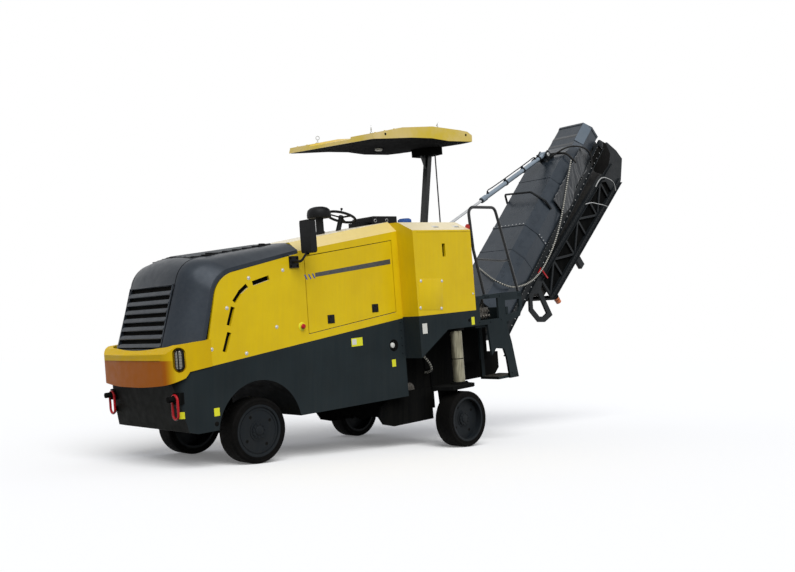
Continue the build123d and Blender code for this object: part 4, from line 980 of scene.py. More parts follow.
red_vinyl = sticker("red_reflector", "#c01a22")
for side, out in SIDES:
    # the access cover with its four screws, and a plug on the box behind it
    bm = bmesh.new()
    sheet_cut(bm, ACCESS, 2.5, upright(BOX_Y * out, out), bevel=1)
    settle(bm, "access_cover_" + side, "machine", yellow)
    bm = bmesh.new()
    for (x, z), (dx, dz) in zip(ACCESS, SCREW_INSET):
        turned(bm, [(0, 10), (7, 9), (12, 6), (14, 3), (18, 2.5), (18, 0), (0, 0)],
               aim((x + dx, (BOX_Y + 2) * out, z + dz), (0, out, 0)), 20)
    turned(bm, [(0, 8), (7, 7), (11, 4), (13, 0), (0, 0)], aim((-3095, BOX_Y * out, 1520), (0, out, 0)), 20)
    settle(bm, "access_screws_" + side, "machine", zinc_plate)

    # flush pulls on the sloping lid: a bright dished plate with a dark finger well, painted shade of the
    # recess
    for name, low, high, finish_of in (("lid_pull_", (-50, -30, 0), (50, 30, 2.5), white_vinyl),
                                       ("lid_pull_well_shade_", (-40, -26, 2.6), (40, -12, 5), black_rubber_and_shade)):
        bm = bmesh.new()
        for x in (-2608, -2976):
            slope = aim((x, (BOX_Y - 95) * out, 2357), (0, 0.447 * out, 0.894))
            slope = slope @ Matrix.Rotation(0 if out > 0 else math.pi, 4, "Z")
            block(bm, low, high, bevel=1, place=slope)
        settle(bm, name + side, "machine", finish_of)

    # the lid's folded lip along the box's top edge and its two hinges at the inner edge
    bm = bmesh.new()
    y0, y1 = sorted(((BOX_Y - 1) * out, (BOX_Y + 3) * out))
    block(bm, (-3126, y0, 2288), (-2190, y1, 2300), bevel=1.5)
    for x in (-2350, -2900):
        turned(bm, [(0, 0), (8, 0), (8, 90), (0, 90)], aim((x, 588 * out, 2436), (-1, 0, 0)), 16)
    settle(bm, "box_lid_edge_" + side, "machine", yellow)

    # red and white reflector bands, 52 mm high, on the box's rear face, and a round red lamp over them
    bm = bmesh.new()
    y0, y1 = sorted((860 * out, 996 * out))
    for k in range(0, 6, 2):
        block(bm, (-3136, y0, 1660 + 52 * k), (-3132, y1, 1712 + 52 * k), bevel=0)
    turned(bm, [(0, 9), (30, 9), (36, 5), (38, 0), (0, 0)], aim((-3131, 960 * out, 2345), (-1, 0, 0)), 28)
    settle(bm, "reflector_red_" + side, "machine", red_vinyl)
    bm = bmesh.new()
    for k in range(1, 6, 2):
        block(bm, (-3136, y0, 1660 + 52 * k), (-3132, y1, 1712 + 52 * k), bevel=0)
    settle(bm, "reflector_white_" + side, "machine", white_vinyl)

# the filler cap's top and its twelve grips
CAP_X, CAP_Y = -2345, 660
bm = bmesh.new()
turned(bm, [(0, 10), (60, 10), (66, 6), (66, 0), (0, 0)], aim((CAP_X, CAP_Y, 2470), (0, 0, 1)), 40)
for k in range(12):
    a = 2 * math.pi * k / 12
    block(bm, (76, -6, 3), (84, 6, 38), bevel=2,
          place=Matrix.Translation((CAP_X, CAP_Y, 2426)) @ Matrix.Rotation(a, 4, "Z"))
settle(bm, "water_cap_grip", "machine", blue_plastic)

bm = bmesh.new()
block(bm, (-3786, -578, 1375), (-2186, 578, 1379), bevel=1)
settle(bm, "platform_tread", "machine", floor_plate)


# ---------------------------------------------------------------- console, steering wheel and intake
# The console is a padded box in grained plastic on a bracket: its top holds the gauge, its rear face five
# switches and its left end two knobs.  The steering wheel is moulded black round a steel ring.
finish(("console", "air_intake", "mirror", "steering_wheel"), grained_plastic)
# the two knobs on its left end: x, z
KNOBS = ((-2305, 2510), (-2500, 2515))
GAUGE = aim((-2470, 60, 2565), (0, 0, 1))
bm = bmesh.new()
for x, z in KNOBS:
    turned(bm, [(0, 14), (9, 14), (12, 10), (12, 4), (0, 4)], aim((x, 190, z), (0, 1, 0)), 24)
for y in range(-120, 81, 50):
    turned(bm, [(0, 22), (8, 20), (9, 0), (0, 0)], aim((-2690, y, 2520), (-1, 0, 0)), 12)
block(bm, (-2704, -150, 2478), (-2690, 150, 2500), bevel=3)
settle(bm, "console_knobs", "machine", black_rubber_and_shade)
bm = bmesh.new()
for x, z in KNOBS:
    turned(bm, [(15, 5), (21, 5), (23, 0), (14, 0), (15, 5)], aim((x, 190, z), (0, 1, 0)), 28)
turned(bm, [(42, 4), (50, 4), (52, 0), (41, 0), (42, 4)], GAUGE, 36)
settle(bm, "console_rings", "machine", zinc_plate)
bm = bmesh.new()
turned(bm, [(0, 1.5), (41, 1.5), (41, 0), (0, 0)], GAUGE, 36)
settle(bm, "console_gauge_glass", "machine", lamp_lens)

# the wheel leans 21 degrees back, towards the driver
WHEEL_LEAN = math.radians(21)
WHEEL_PLACE = aim((-1920, 0, 2575), (-math.sin(WHEEL_LEAN), 0, math.cos(WHEEL_LEAN)))
bm = bmesh.new()
turned(bm, [(176 + 16 * math.cos(a), 16 * math.sin(a)) for a in [2 * math.pi * k / 12 for k in range(13)]],
       WHEEL_PLACE, 60)
for k in range(3):
    spoke = WHEEL_PLACE @ Matrix.Rotation(math.radians(60 + 120 * k), 4, "Z")
    block(bm, (18, -17, -12), (170, 17, -1), bevel=4, segments=2, place=spoke)
turned(bm, [(0, 20), (20, 19), (30, 13), (34, 4), (34, -16), (24, -20), (0, -20)], WHEEL_PLACE, 32)
turned(bm, [(0, 58), (13, 56), (16, 48), (13, 38), (7, 32), (7, 4), (0, 4)],
       WHEEL_PLACE @ Matrix.Translation((-120, 110, 0)), 20)
wheel = settle(bm, "steering_rim", "steering_wheel", grained_plastic)
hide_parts("steering_wheel")

# the intake: a moulded cap with a beaded rim and a skirt of ribs, on its pipe with one clamp
INTAKE = (-1575, 0, 2520)
INTAKE_PLACE = aim(INTAKE, (0, 0, 1))
bm = bmesh.new()
turned(bm, [(0, 175), (62, 173), (104, 160), (132, 136), (142, 104), (142, 54), (135, 42), (126, 38),
            (112, 44), (60, 52), (52, 50), (0, 50)], INTAKE_PLACE, 56)
turned(bm, [(47, -300), (47, 52), (0, 52)], INTAKE_PLACE, 32)
turned(bm, [(47, -150), (56, -150), (56, -120), (47, -120), (47, -150)], INTAKE_PLACE, 32)
for k in range(20):
    a = 2 * math.pi * k / 20
    block(bm, (128, -4, 44), (144, 4, 90), bevel=1.5, segments=1,
          place=Matrix.Translation(INTAKE) @ Matrix.Rotation(a, 4, "Z"))
cap = settle(bm, "intake_cap", "machine", grained_plastic)
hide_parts("air_intake")


# ---------------------------------------------------------------- mirror
# A deep black plastic housing on a bent bar; the bar's foot is bolted to the side panel.
# The glass faces the operator.
def silvered_glass():
    """Silvered glass: clean, with a breath of dust in 60 mm patches."""
    made, tree, shader, place = begin("mirror_glass")
    base = mixed(tree, speckle(tree, place, 60, 0, 0.25), "#c8ccd0", "#9a9a94")
    tree.links.new(base, shader.inputs["Base Color"])
    tree.links.new(speckle(tree, place, 60, 0.03, 0.12), shader.inputs["Roughness"])
    shader.inputs["Metallic"].default_value = 1
    return made


mirror_glass = silvered_glass()
# the middle of the glass
MIRROR_Y, MIRROR_Z = 940, 2262
bm = bmesh.new()
block(bm, (-681, MIRROR_Y - 76, MIRROR_Z - 160), (-677, MIRROR_Y + 76, MIRROR_Z + 160), bevel=1.5)
settle(bm, "mirror_glass", "machine", mirror_glass)
# the housing's brow, the bar's clamp and the four bolts of its foot
bm = bmesh.new()
block(bm, (-684, MIRROR_Y - 86, MIRROR_Z + 160), (-602, MIRROR_Y + 86, MIRROR_Z + 171), bevel=4)
for z in (1972, 2052):
    hex_bolt(bm, (-622, 749, z), (0, 1, 0), 15)
    hex_bolt(bm, (-538, 749, z), (0, 1, 0), 15)
block(bm, (-630, 925, 2070), (-596, 955, 2104), bevel=4)
settle(bm, "mirror_clamp", "machine", black_rubber_and_shade)


# ---------------------------------------------------------------- ladders, handrails and rear frame
# Rails of bent round bar, sprayed black, clamped to the ladder plates, and steps of serrated bar.
# A machined steel valve block with five spools sits low behind the rear window on either side.
black_gloss = enamel("black_enamel_rails", "#16191c", "#121416", 0.05, gloss=0.3, coat=0.1)
finish(("handrails", "canopy_post"), black_gloss)
# the valve block's five spools, along x
VALVES_X = [-3490 + 55 * k for k in range(5)]
for side, out in SIDES:
    bm = bmesh.new()
    y0, y1 = sorted((680 * out, 965 * out))
    for k in range(13):
        x = -3850 + k * 27
        block(bm, (x, y0, 440), (x + 6, y1, 449), bevel=1.5, segments=1)
    settle(bm, "step_treads_" + side, "machine", weathered_steel)
    # clamps where the handrail meets the ladder plate
    bm = bmesh.new()
    y0, y1 = sorted((960 * out, 1004 * out))
    for x in (-3340, -4005):
        block(bm, (x - 34, y0, 1440), (x + 34, y1, 1496), bevel=3)
        hex_bolt(bm, (x - 18, 1004 * out, 1468), (0, out, 0), 14)
        hex_bolt(bm, (x + 18, 1004 * out, 1468), (0, out, 0), 14)
    settle(bm, "rail_clamps_" + side, "machine", slate_low)
    # valve block: a machined body, a row of spool caps and their fittings
    bm = bmesh.new()
    y0, y1 = sorted((700 * out, 860 * out))
    block(bm, (-3520, y0, 1190), (-3240, y1, 1330), bevel=6)
    for x in VALVES_X:
        turned(bm, [(0, 46), (12, 46), (17, 40), (17, 0), (0, 0)],
               aim((x, 860 * out, 1225), (0, out, 0)), 16)
        turned(bm, [(0, 34), (12, 34), (12, 22), (19, 22), (19, 0), (0, 0)],
               aim((x, 860 * out, 1285), (0, out, 0)), 6)
        turned(bm, [(0, 50), (10, 50), (10, 24), (16, 24), (16, 0), (0, 0)],
               aim((x, 780 * out, 1330), (0, 0, 1)), 6)
    settle(bm, "valve_block_" + side, "machine", weathered_steel)


# ---------------------------------------------------------------- hoses
# Rubber-covered hydraulic hoses, five from each valve block: they rise, bend over and run down beside it.
# They are screwed to the block and hang free otherwise.
def tube(name, points, radius, body, material, place=STAND):
    """A bent bar or hose on a smooth curve through its route, made a mesh in its place."""
    curve = bpy.data.curves.new(name, "CURVE")
    curve.dimensions = "3D"
    curve.bevel_depth = radius
    curve.bevel_resolution = 3
    curve.resolution_u = 8
    curve.use_fill_caps = True
    spline = curve.splines.new("NURBS")
    spline.points.add(len(points) - 1)
    for control, point in zip(spline.points, points):
        control.co = (*point, 1)
    spline.order_u = 3
    spline.use_endpoint_u = True
    drawn = bpy.data.objects.new(name + "_route", curve)
    bpy.context.scene.collection.objects.link(drawn)
    bpy.context.view_layer.update()
    mesh = bpy.data.meshes.new_from_object(drawn)
    bpy.data.objects.remove(drawn)
    bm = bmesh.new()
    bm.from_mesh(mesh)
    bpy.data.meshes.remove(mesh)
    return settle(bm, name, body, material, place)


hose_rubber = enamel("hydraulic_hose_rubber", "#0b0b0c", "#111110", 0.08, gloss=0.5, level=0.2)
for k, x in enumerate(VALVES_X):
    for side, out in SIDES:
        tube("valve_hose_%s_%d" % (side, k + 1),
             [(x, 780 * out, 1370), (x, 780 * out, 1420), (x - 20 + 9 * k, (790 + 12 * k) * out, 1475),
              (x + 40, (840 - 8 * k) * out, 1440), (x + 50, (850 - 20 * k) * out, 1360),
              (x + 60, (840 - 20 * k) * out, 1180)], 11, "machine", hose_rubber)


# ---------------------------------------------------------------- canopy
# A pressed sheet-steel roof on one post, in the machine's yellow outside and black inside as painted shade,
# with lifting eyes and domed bolts on its side beams and one small work lamp underneath.
# The roof stands 3.3 degrees out of level, low on its left.
# its upward faces are paled to cream: a painted highlight
yellow_roof = enamel("yellow_enamel_roof", "#e3cc8f", "#dcc03a", 0.02, gloss=0.34, level=0.25,
                     top_glare="#e6dcc2")
finish(("canopy",), yellow_roof)
ROLL = (Matrix.Translation((0, 0, 3450)) @ Matrix.Rotation(math.radians(-3.3), 4, "X")
        @ Matrix.Translation((0, 0, -3450)))
# the side beam's top edge from front to rear, then the lower edge that the lining follows: x, z
ROOF_TOP = ((-1830, 3501), (-2290, 3596), (-2810, 3646), (-3320, 3636), (-3460, 3626))
ROOF_EDGE = ((-1838, 3433), (-2000, 3446), (-2450, 3486), (-2800, 3501), (-3100, 3486), (-3540, 3505),
             (-3600, 3508))
# half width of the lining, and of its narrow tail behind TAIL_X
LINING_Y, TAIL_Y, TAIL_X = 783, 600, -3560
# each lifting eye: its x and y, and the way its ring faces
LIFTING_EYES = ((-1945, 620, (0.72, -0.69, 0)), (-3010, 690, (0.72, -0.69, 0.5)),
                (-2100, -560, (0.6, 0.8, 0)), (-3200, -560, (0.6, 0.8, 0)))


def roof_z(x):
    """Height of the roof's side beam at x."""
    for (x0, z0), (x1, z1) in zip(ROOF_TOP, ROOF_TOP[1:]):
        if x1 <= x <= x0:
            return z0 + (z1 - z0) * (x - x0) / (x1 - x0)
    return ROOF_TOP[-1][1]


bm = bmesh.new()
for x, y, faces in LIFTING_EYES:
    z = roof_z(x)
    turned(bm, [(17, -6), (17, 6), (28, 6), (28, -6), (17, -6)], aim((x, y, z + 62), faces), 24)
    turned(bm, [(0, 40), (8, 40), (8, 9), (15, 9), (18, 0), (0, 0)], aim((x, y, z), (0, 0, 1)), 20)
settle(bm, "roof_lifting_eyes", "machine", zinc_plate, place=STAND @ ROLL)
bm = bmesh.new()
for out in (-1, 1):
    for x, z in ((-2010, 3499), (-3424, 3583)):
        turned(bm, [(0, 8), (9, 7), (13, 4), (15, 0), (0, 0)], aim((x, 790 * out, z), (0, out, 0)), 20)
settle(bm, "roof_side_bolts", "machine", black_rubber_and_shade, place=STAND @ ROLL)
bm = bmesh.new()
for y in (-730, 730):
    for (x0, z0), (x1, z1) in zip(ROOF_TOP, ROOF_TOP[1:]):
        for j in range(3):
            x = x0 + (x1 - x0) * (j + 0.5) / 3
            turned(bm, [(0, 6), (8, 5), (12, 2), (13, 0), (0, 0)], aim((x, y, roof_z(x)), (0, 0, 1)), 14)
settle(bm, "roof_top_bolts", "machine", yellow, place=STAND @ ROLL)

# the black lining, painted shade of the roof's underside, closes the roof from below and follows its edge;
# one small work lamp hangs under it
bm = bmesh.new()
outline = [(x, z - 3) for x, z in ROOF_EDGE] + [(x, z + 6) for x, z in ROOF_EDGE[::-1]]
sides = [[bm.verts.new((x, y * (LINING_Y if x > TAIL_X else TAIL_Y), z)) for x, z in outline]
         for y in (-1, 1)]
for k in range(len(outline)):
    bm.faces.new((sides[0][k - 1], sides[0][k], sides[1][k], sides[1][k - 1]))
for ring in sides:
    for k in range(len(ROOF_EDGE) - 1):
        bm.faces.new((ring[k], ring[k + 1], ring[-k - 2], ring[-k - 1]))
roof_shade_lining = enamel("black_roof_shade_lining", "#1d1e20", "#161718", 0.0, gloss=0.9, level=0.02)
settle(bm, "roof_lining", "machine", roof_shade_lining, place=STAND @ ROLL)
bm = bmesh.new()
block(bm, (-3634, -164, 3400), (-3396, 184, 3512), bevel=3)
settle(bm, "post_head_cover", "machine", black_and_shade_low)
bm = bmesh.new()
turned(bm, [(0, 0), (0, -30), (40, -30), (50, -22), (50, 0), (0, 0)],
       aim((-2880, -260, 3496), (0, 0, 1)), 28)
settle(bm, "roof_lamp", "machine", white_vinyl, place=STAND @ ROLL)


# ---------------------------------------------------------------- slewing mast and lower conveyor
# A folded-sheet trough conveyor.  Its cover is ribbed sheet with a bolted joint half way, held by a hoop,
# and its flanges are bolted every 60 or 120 mm.
# u runs up the belt from the luffing axis and w stands square to it; x in BELT is -u.
LUFF_X, LUFF_Z, RISE = -4150, 1050, math.radians(45)
BELT = STAND @ Matrix.Translation((LUFF_X, 0, LUFF_Z)) @ Matrix.Rotation(RISE, 4, "Y")
# half width over the side rails
RAIL_Y = 400
conveyor_slate = enamel("slate_enamel_conveyor", "#252c34", "#1b2229", 0.03, gloss=0.28, level=0.4, peel=0.5,
                        tint=SKY_TINT)
conveyor_dark = enamel("dark_enamel_frame", "#14191d", "#101417", 0.04, gloss=0.45, level=0.15)
finish(("lower_cover",), conveyor_slate)
finish(("lower_conveyor", "turret", "upper_conveyor", "cylinder_bracket", "cover_hoop"), conveyor_dark)


def belt_rubber():
    """Worn conveyor rubber, grey with rock dust in 50 mm patches."""
    made, tree, shader, place = begin("conveyor_belt_rubber")
    base = mixed(tree, speckle(tree, place, 50, 0, 1, detail=8), "#161616", "#34322e")
    tree.links.new(base, shader.inputs["Base Color"])
    tree.links.new(speckle(tree, place, 30, 0.6, 0.85), shader.inputs["Roughness"])
    return made


rubber_belt = belt_rubber()
finish(("lower_belt", "upper_belt"), rubber_belt)
# the cover's outline at its sections: u, half width, w of its eaves, w of its top
COVER = ((180, 400, 60, 270), (3100, 400, 60, 270), (3600, 328, 20, 141), (4145, 325, 20, 141))


def cover_section(u):
    """Half width, eaves and top of the cover at u."""
    for low, high in zip(COVER, COVER[1:]):
        if low[0] <= u <= high[0]:
            t = (u - low[0]) / (high[0] - low[0])
            return [a + (b - a) * t for a, b in zip(low[1:], high[1:])]
    return list(COVER[-1][1:])


def over_cover(bm, u, width, proud):
    """A strap laid over the cover at u: width along the belt, standing proud of the sheet."""
    rows = []
    for at in (u, u + width):
        half, eaves, top = cover_section(at)
        ridge = half - 100
        row = [(half, -178), (half, eaves), (ridge, top), (-ridge, top), (-half, eaves), (-half, -178)]
        lift = [(proud, 0), (proud, proud * 0.4), (proud * 0.4, proud), (-proud * 0.4, proud),
                (-proud, proud * 0.4), (-proud, 0)]
        inner = [bm.verts.new((-at, y, w)) for y, w in row]
        outer = [bm.verts.new((-at, y + dy, w + dw)) for (y, w), (dy, dw) in zip(row, lift)]
        rows.append((inner, outer))
    (a_in, a_out), (b_in, b_out) = rows
    bm.faces.new((a_in[0], a_out[0], b_out[0], b_in[0]))
    for k in range(5):
        bm.faces.new((a_out[k], a_out[k + 1], b_out[k + 1], b_out[k]))
        bm.faces.new((a_in[k], a_in[k + 1], a_out[k + 1], a_out[k]))
        bm.faces.new((b_in[k], b_out[k], b_out[k + 1], b_in[k + 1]))
    bm.faces.new((a_in[5], b_in[5], b_out[5], a_out[5]))


bm = bmesh.new()
for u, width, proud in ((182, 34, 8), (1200, 26, 4), (1690, 44, 7), (2700, 26, 4), (4100, 40, 8)):
    over_cover(bm, u, width, proud)
settle(bm, "cover_straps", "lower_conveyor", conveyor_slate, place=BELT)

# bolt heads along both flanges of each rail, then over the cover's joint, which is at JOINT_U
JOINT_U = 1712
bm = bmesh.new()
for w, start, pitch in ((-200, 220, 60), (-300, 260, 120)):
    for u in range(start, 4000, pitch):
        for out in (-1, 1):
            turned(bm, [(0, 7), (8, 7), (9, 0), (0, 0)], aim((-u, RAIL_Y * out, w), (0, out, 0)), 6)
half, eaves, top = cover_section(JOINT_U)
for k in range(9):
    y = -half + 130 + k * (2 * half - 260) / 8
    turned(bm, [(0, 14), (8, 14), (9, 6), (0, 6)], aim((-JOINT_U, y, top), (0, 0, 1)), 6)
for out in (-1, 1):
    for w in (-150, -90, -30, 30):
        turned(bm, [(0, 14), (8, 14), (9, 6), (0, 6)], aim((-JOINT_U, half * out, w), (0, out, 0)), 6)
settle(bm, "conveyor_bolts", "lower_conveyor", zinc_plate, place=BELT)

# the folded flange between the cover and the rail, and the rail's stiffening lips
bm = bmesh.new()
for out in (-1, 1):
    y0, y1 = sorted((396 * out, 426 * out))
    block(bm, (-4000, y0, -186), (-120, y1, -180), bevel=1.5)
    block(bm, (-4000, y0, -322), (-120, y1, -316), bevel=1.5)
settle(bm, "rail_flanges", "lower_conveyor", conveyor_dark, place=BELT)

# return idlers under the belt, and the head drum with its bearings
bm = bmesh.new()
for u in range(300, 3500, 460):
    turned(bm, [(0, -365), (34, -365), (34, 365), (0, 365)], aim((-u, 0, -330), (0, 1, 0)), 20)
settle(bm, "return_idlers", "lower_conveyor", black_and_shade_low, place=BELT)
HEAD_U, HEAD_W = 3985, -225
bm = bmesh.new()
turned(bm, [(0, -300), (78, -300), (84, -285), (84, 285), (78, 300), (0, 300)],
       aim((-HEAD_U, 0, HEAD_W), (0, 1, 0)), 32)
for out in (-1, 1):
    turned(bm, [(0, 0), (60, 0), (60, 26), (34, 40), (0, 40)],
           aim((-HEAD_U, RAIL_Y * out, HEAD_W), (0, out, 0)), 28)
    for k in range(4):
        a = math.pi * (0.25 + 0.5 * k)
        at = (-HEAD_U + 47 * math.cos(a), (RAIL_Y + 26) * out, HEAD_W + 47 * math.sin(a))
        hex_bolt(bm, at, (0, out, 0), 12)
settle(bm, "head_drum", "lower_conveyor", conveyor_dark, place=BELT)

# red pull handle of the belt's stop line
bm = bmesh.new()
block(bm, (-1350, 402, -505), (-1322, 420, -285), bevel=5)
block(bm, (-1350, 402, -312), (-1240, 420, -285), bevel=5)
settle(bm, "pull_handle", "lower_conveyor", red_enamel, place=BELT)


def armour_wire():
    """Hose in a spiral of flat wire: bright turns over black rubber, along the hose's own line.

    The turns lie 16 mm apart, which is too fine to see, so they are drawn 34 mm apart.
    """
    made, tree, shader, place = begin("spiral_hose_armour")
    along = add(tree, "ShaderNodeAttribute", attribute_name="along")
    turns = add(tree, "ShaderNodeMath", {1: 1000 / 34}, {0: along.outputs["Fac"]}, operation="MULTIPLY")
    part = add(tree, "ShaderNodeMath", links={0: turns.outputs[0]}, operation="FRACT").outputs[0]
    bright = add(tree, "ShaderNodeMapRange", {"From Min": 0.45, "From Max": 0.55},
                 {"Value": part}).outputs[0]
    base = mixed(tree, bright, "#1c1c1b", "#a9a79c")
    tree.links.new(base, shader.inputs["Base Color"])
    tree.links.new(speckle(tree, place, 20, 0.4, 0.6), shader.inputs["Roughness"])
    skin = add(tree, "ShaderNodeBump", {"Strength": 0.5, "Distance": 0.002}, {"Height": bright})
    tree.links.new(skin.outputs[0], shader.inputs["Normal"])
    return made


hose_armour = armour_wire()
# the armoured line's radius in metres, and its route over the cover and down its left side: u, y, w
HOSE_R = 0.012
HOSE = ((850, -110, 300), (575, 277, 345), (555, 448, 205), (680, 450, 10), (962, 450, -200),
        (1262, 450, -294), (1568, 450, -300), (1887, 450, -272), (2293, 450, -152), (2668, 450, 8),
        (3133, 450, 200))


def routed(name, route, radius, place):
    """A hose that follows a smooth route: its mesh, the points of its centreline and its length."""
    curve = bpy.data.curves.new(name, "CURVE")
    curve.dimensions = "3D"
    curve.resolution_u = 16
    spline = curve.splines.new("NURBS")
    spline.points.add(len(route) - 1)
    for control, point in zip(spline.points, route):
        control.co = (*(place @ Vector(point)), 1)
    spline.order_u = 3
    spline.use_endpoint_u = True
    drawn = bpy.data.objects.new(name + "_route", curve)
    bpy.context.scene.collection.objects.link(drawn)
    bpy.context.view_layer.update()
    line = bpy.data.meshes.new_from_object(drawn)
    path = [v.co.copy() for v in line.vertices]
    bpy.data.meshes.remove(line)
    curve.bevel_depth = radius
    curve.bevel_resolution = 3
    curve.use_fill_caps = True
    bpy.context.view_layer.update()
    mesh = bpy.data.meshes.new_from_object(drawn)
    bpy.data.objects.remove(drawn)
    travelled = [0.0]
    for a, b in zip(path, path[1:]):
        travelled.append(travelled[-1] + (b - a).length)
    along = mesh.attributes.new("along", "FLOAT", "POINT")
    for v, value in zip(mesh.vertices, along.data):
        nearest = min(range(len(path)), key=lambda i: (path[i] - v.co).length_squared)
        value.value = travelled[nearest]
    mesh.shade_smooth()
    return mesh, path, travelled[-1]


# the armoured line itself, clipped along the cover
mesh, path, length = routed("armoured_hose", [(-u, y, w) for u, y, w in HOSE], HOSE_R, BELT)
mesh.materials.append(hose_armour)
line = bpy.data.objects.new("armoured_hose", mesh)
bpy.context.scene.collection.objects.link(line)
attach(line, "lower_conveyor")
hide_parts("hose")

# a hose in a spring guard that runs down beside the left wheel house to the milling box, a plain one looped
# over the head, and two braided ones across the folded half: each with what carries it, its place, its
# radius in metres, its material and slot, and its route
braid = enamel("steel_wire_braid", "#c6c7c5", "#8f918f", 0.0, gloss=0.4, level=0.5)
UPPER = BELT @ Matrix.Translation((-4110, 0, -430)) @ Matrix.Rotation(math.radians(-4.5), 4, "Y")
MORE_HOSES = (
    ("guarded_hose", "machine", STAND, 0.015, hose_armour, "hose_armour",
     ((-2300, 700, 932), (-2370, 708, 890), (-2460, 714, 800), (-2540, 712, 720), (-2590, 690, 640),
      (-2600, 610, 600), (-2600, 552, 600))),
    ("head_loop_hose", "lower_conveyor", BELT, 0.013, hose_rubber, "rubber",
     ((-3180, 40, 275), (-3260, 160, 285), (-3420, 300, 262), (-3560, 392, 120), (-3620, 440, -30),
      (-3600, 446, -160), (-3480, 446, -236))),
    ("braided_hose_upper", "upper_conveyor", UPPER, 0.009, braid, "hose_armour",
     ((760, 412, -182), (640, 426, -150), (500, 428, -190), (380, 428, -330), (300, 426, -470),
      (352, 412, -590))),
    ("braided_hose_lower", "upper_conveyor", UPPER, 0.007, braid, "hose_armour",
     ((1180, 408, -190), (1045, 412, -260), (926, 412, -394), (802, 412, -520), (732, 408, -610))),
)
for name, body, place, radius, material, slot, route in MORE_HOSES:
    mesh, path, length = routed(name, route, radius, place)
    mesh.materials.append(material)
    line = bpy.data.objects.new(name, mesh)
    bpy.context.scene.collection.objects.link(line)
    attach(line, body)


# ---------------------------------------------------------------- tarpaulin at the conveyor's head
# A black PVC-coated tarpaulin closes the gap between the cover and the head; it is laced on and hangs in
# long diagonal creases down the left side and over the top.
def tarpaulin():
    """PVC-coated cloth: dark blue-grey, greasy sheen on its folds, 3 mm weave drawn at 5."""
    made, tree, shader, place = begin("pvc_tarpaulin")
    base = mixed(tree, speckle(tree, place, 110, 0, 1, detail=8), "#12161a", "#1d2329")
    base = mixed(tree, speckle(tree, place, 35, 0, 0.12, detail=8), base, "#63666a")
    tree.links.new(base, shader.inputs["Base Color"])
    tree.links.new(speckle(tree, place, 60, 0.24, 0.42), shader.inputs["Roughness"])
    shader.inputs["Sheen Weight"].default_value = 0.1
    weave = add(tree, "ShaderNodeTexNoise", {"Scale": 200, "Detail": 1}, {"Vector": place})
    skin = add(tree, "ShaderNodeBump", {"Strength": 0.3, "Distance": 0.0006},
               {"Height": weave.outputs["Fac"]})
    tree.links.new(skin.outputs[0], shader.inputs["Normal"])
    return made


tarp_cloth = tarpaulin()


def creased(bm, across, depth, seed):
    """Pushes a grid's points out of its surface in long slanting creases, and never over 4 mm inwards."""
    bm.normal_update()
    moved = []
    for v in bm.verts:
        p = v.co
        ridge = noise.noise(Vector((p.x / across + p.z / across * 0.8, (p.x - p.z) / (across * 5), seed)))
        fine = noise.noise(Vector((p.x / 60, p.z / 60, seed + 7)))
        moved.append((v, v.normal * max(-4, depth * (1 - abs(ridge) * 2.2) + depth * 0.15 * fine)))
    for v, shift in moved:
        v.co += shift


# the side flap, hung from the cover's eaves: from and to along u
FLAP_U = (2350, 3660)
bm = bmesh.new()
bmesh.ops.create_grid(bm, x_segments=90, y_segments=28, size=0.5)
for v in bm.verts:
    along, down = v.co.x + 0.5, 0.5 - v.co.y
    u = FLAP_U[0] + along * (FLAP_U[1] - FLAP_U[0])
    half, eaves, top = cover_section(u)
    reach = eaves + 60 + (310 + 40 * math.sin(along * 9)) * -down
    v.co = Vector((-u, half + 16 + 10 * down, reach))
creased(bm, 100, 20, 3.0)
flap = settle(bm, "head_tarp_side", "lower_conveyor", tarp_cloth, place=BELT, crease=80)

# the top sheet, laid over the narrowing cover from TARP_U
TARP_U, TARP_LENGTH = 3180, 810
bm = bmesh.new()
bmesh.ops.create_grid(bm, x_segments=70, y_segments=46, size=0.5)
for v in bm.verts:
    along, over = v.co.x + 0.5, v.co.y
    u = TARP_U + along * TARP_LENGTH
    half, eaves, top = cover_section(u)
    side = abs(over) * (2 if over < 0 else 1.4)
    if side < 0.7001:
        y, w = (half - 96) * side / 0.7, top
    else:
        y, w = half - 96 + 104 * (side - 0.7) / 0.3, top + (eaves - top) * (side - 0.7) / 0.3
    v.co = Vector((-u, math.copysign(y + 4, over), w + 8))
creased(bm, 120, 18, 9.0)
cloth = settle(bm, "head_tarp_top", "lower_conveyor", tarp_cloth, place=BELT, crease=80)

# the bare side plate of the head, left of the top sheet
plate_slate = enamel("slate_enamel_plate", "#4c5b68", "#3f4d59", 0.03, gloss=0.35, level=0.3)
bm = bmesh.new()
rows = []
for u in (3720, 4140):
    half, eaves, top = cover_section(u)
    rows.append([Vector((-u, half + 6, eaves + 4)), Vector((-u, half - 92, top + 6)),
                 Vector((-u, half - 92, top - 2)), Vector((-u, half, eaves - 4))])
for ring in rows:
    bm.faces.new([bm.verts.new(p) for p in ring])
for k in range(4):
    bm.faces.new([bm.verts.new(p) for p in (rows[0][k - 1], rows[0][k], rows[1][k], rows[1][k - 1])])
settle(bm, "head_side_plate", "lower_conveyor", plate_slate, place=BELT)

# rubber curtains that close the fold on either side, just outside the rails: u, w
CURTAIN = ((3560, -186), (4050, -186), (4130, -330), (4090, -520), (3900, -600), (3650, -560),
           (3520, -400))
for side, out in SIDES:
    bm = bmesh.new()
    hung = Matrix(((-1, 0, 0, 0), (0, 0, out, (RAIL_Y + 2) * out), (0, 1, 0, 0), (0, 0, 0, 1)))
    sheet_cut(bm, CURTAIN, 4, hung, bevel=1)
    settle(bm, "fold_curtain_" + side, "lower_conveyor", black_rubber_and_shade, place=BELT)


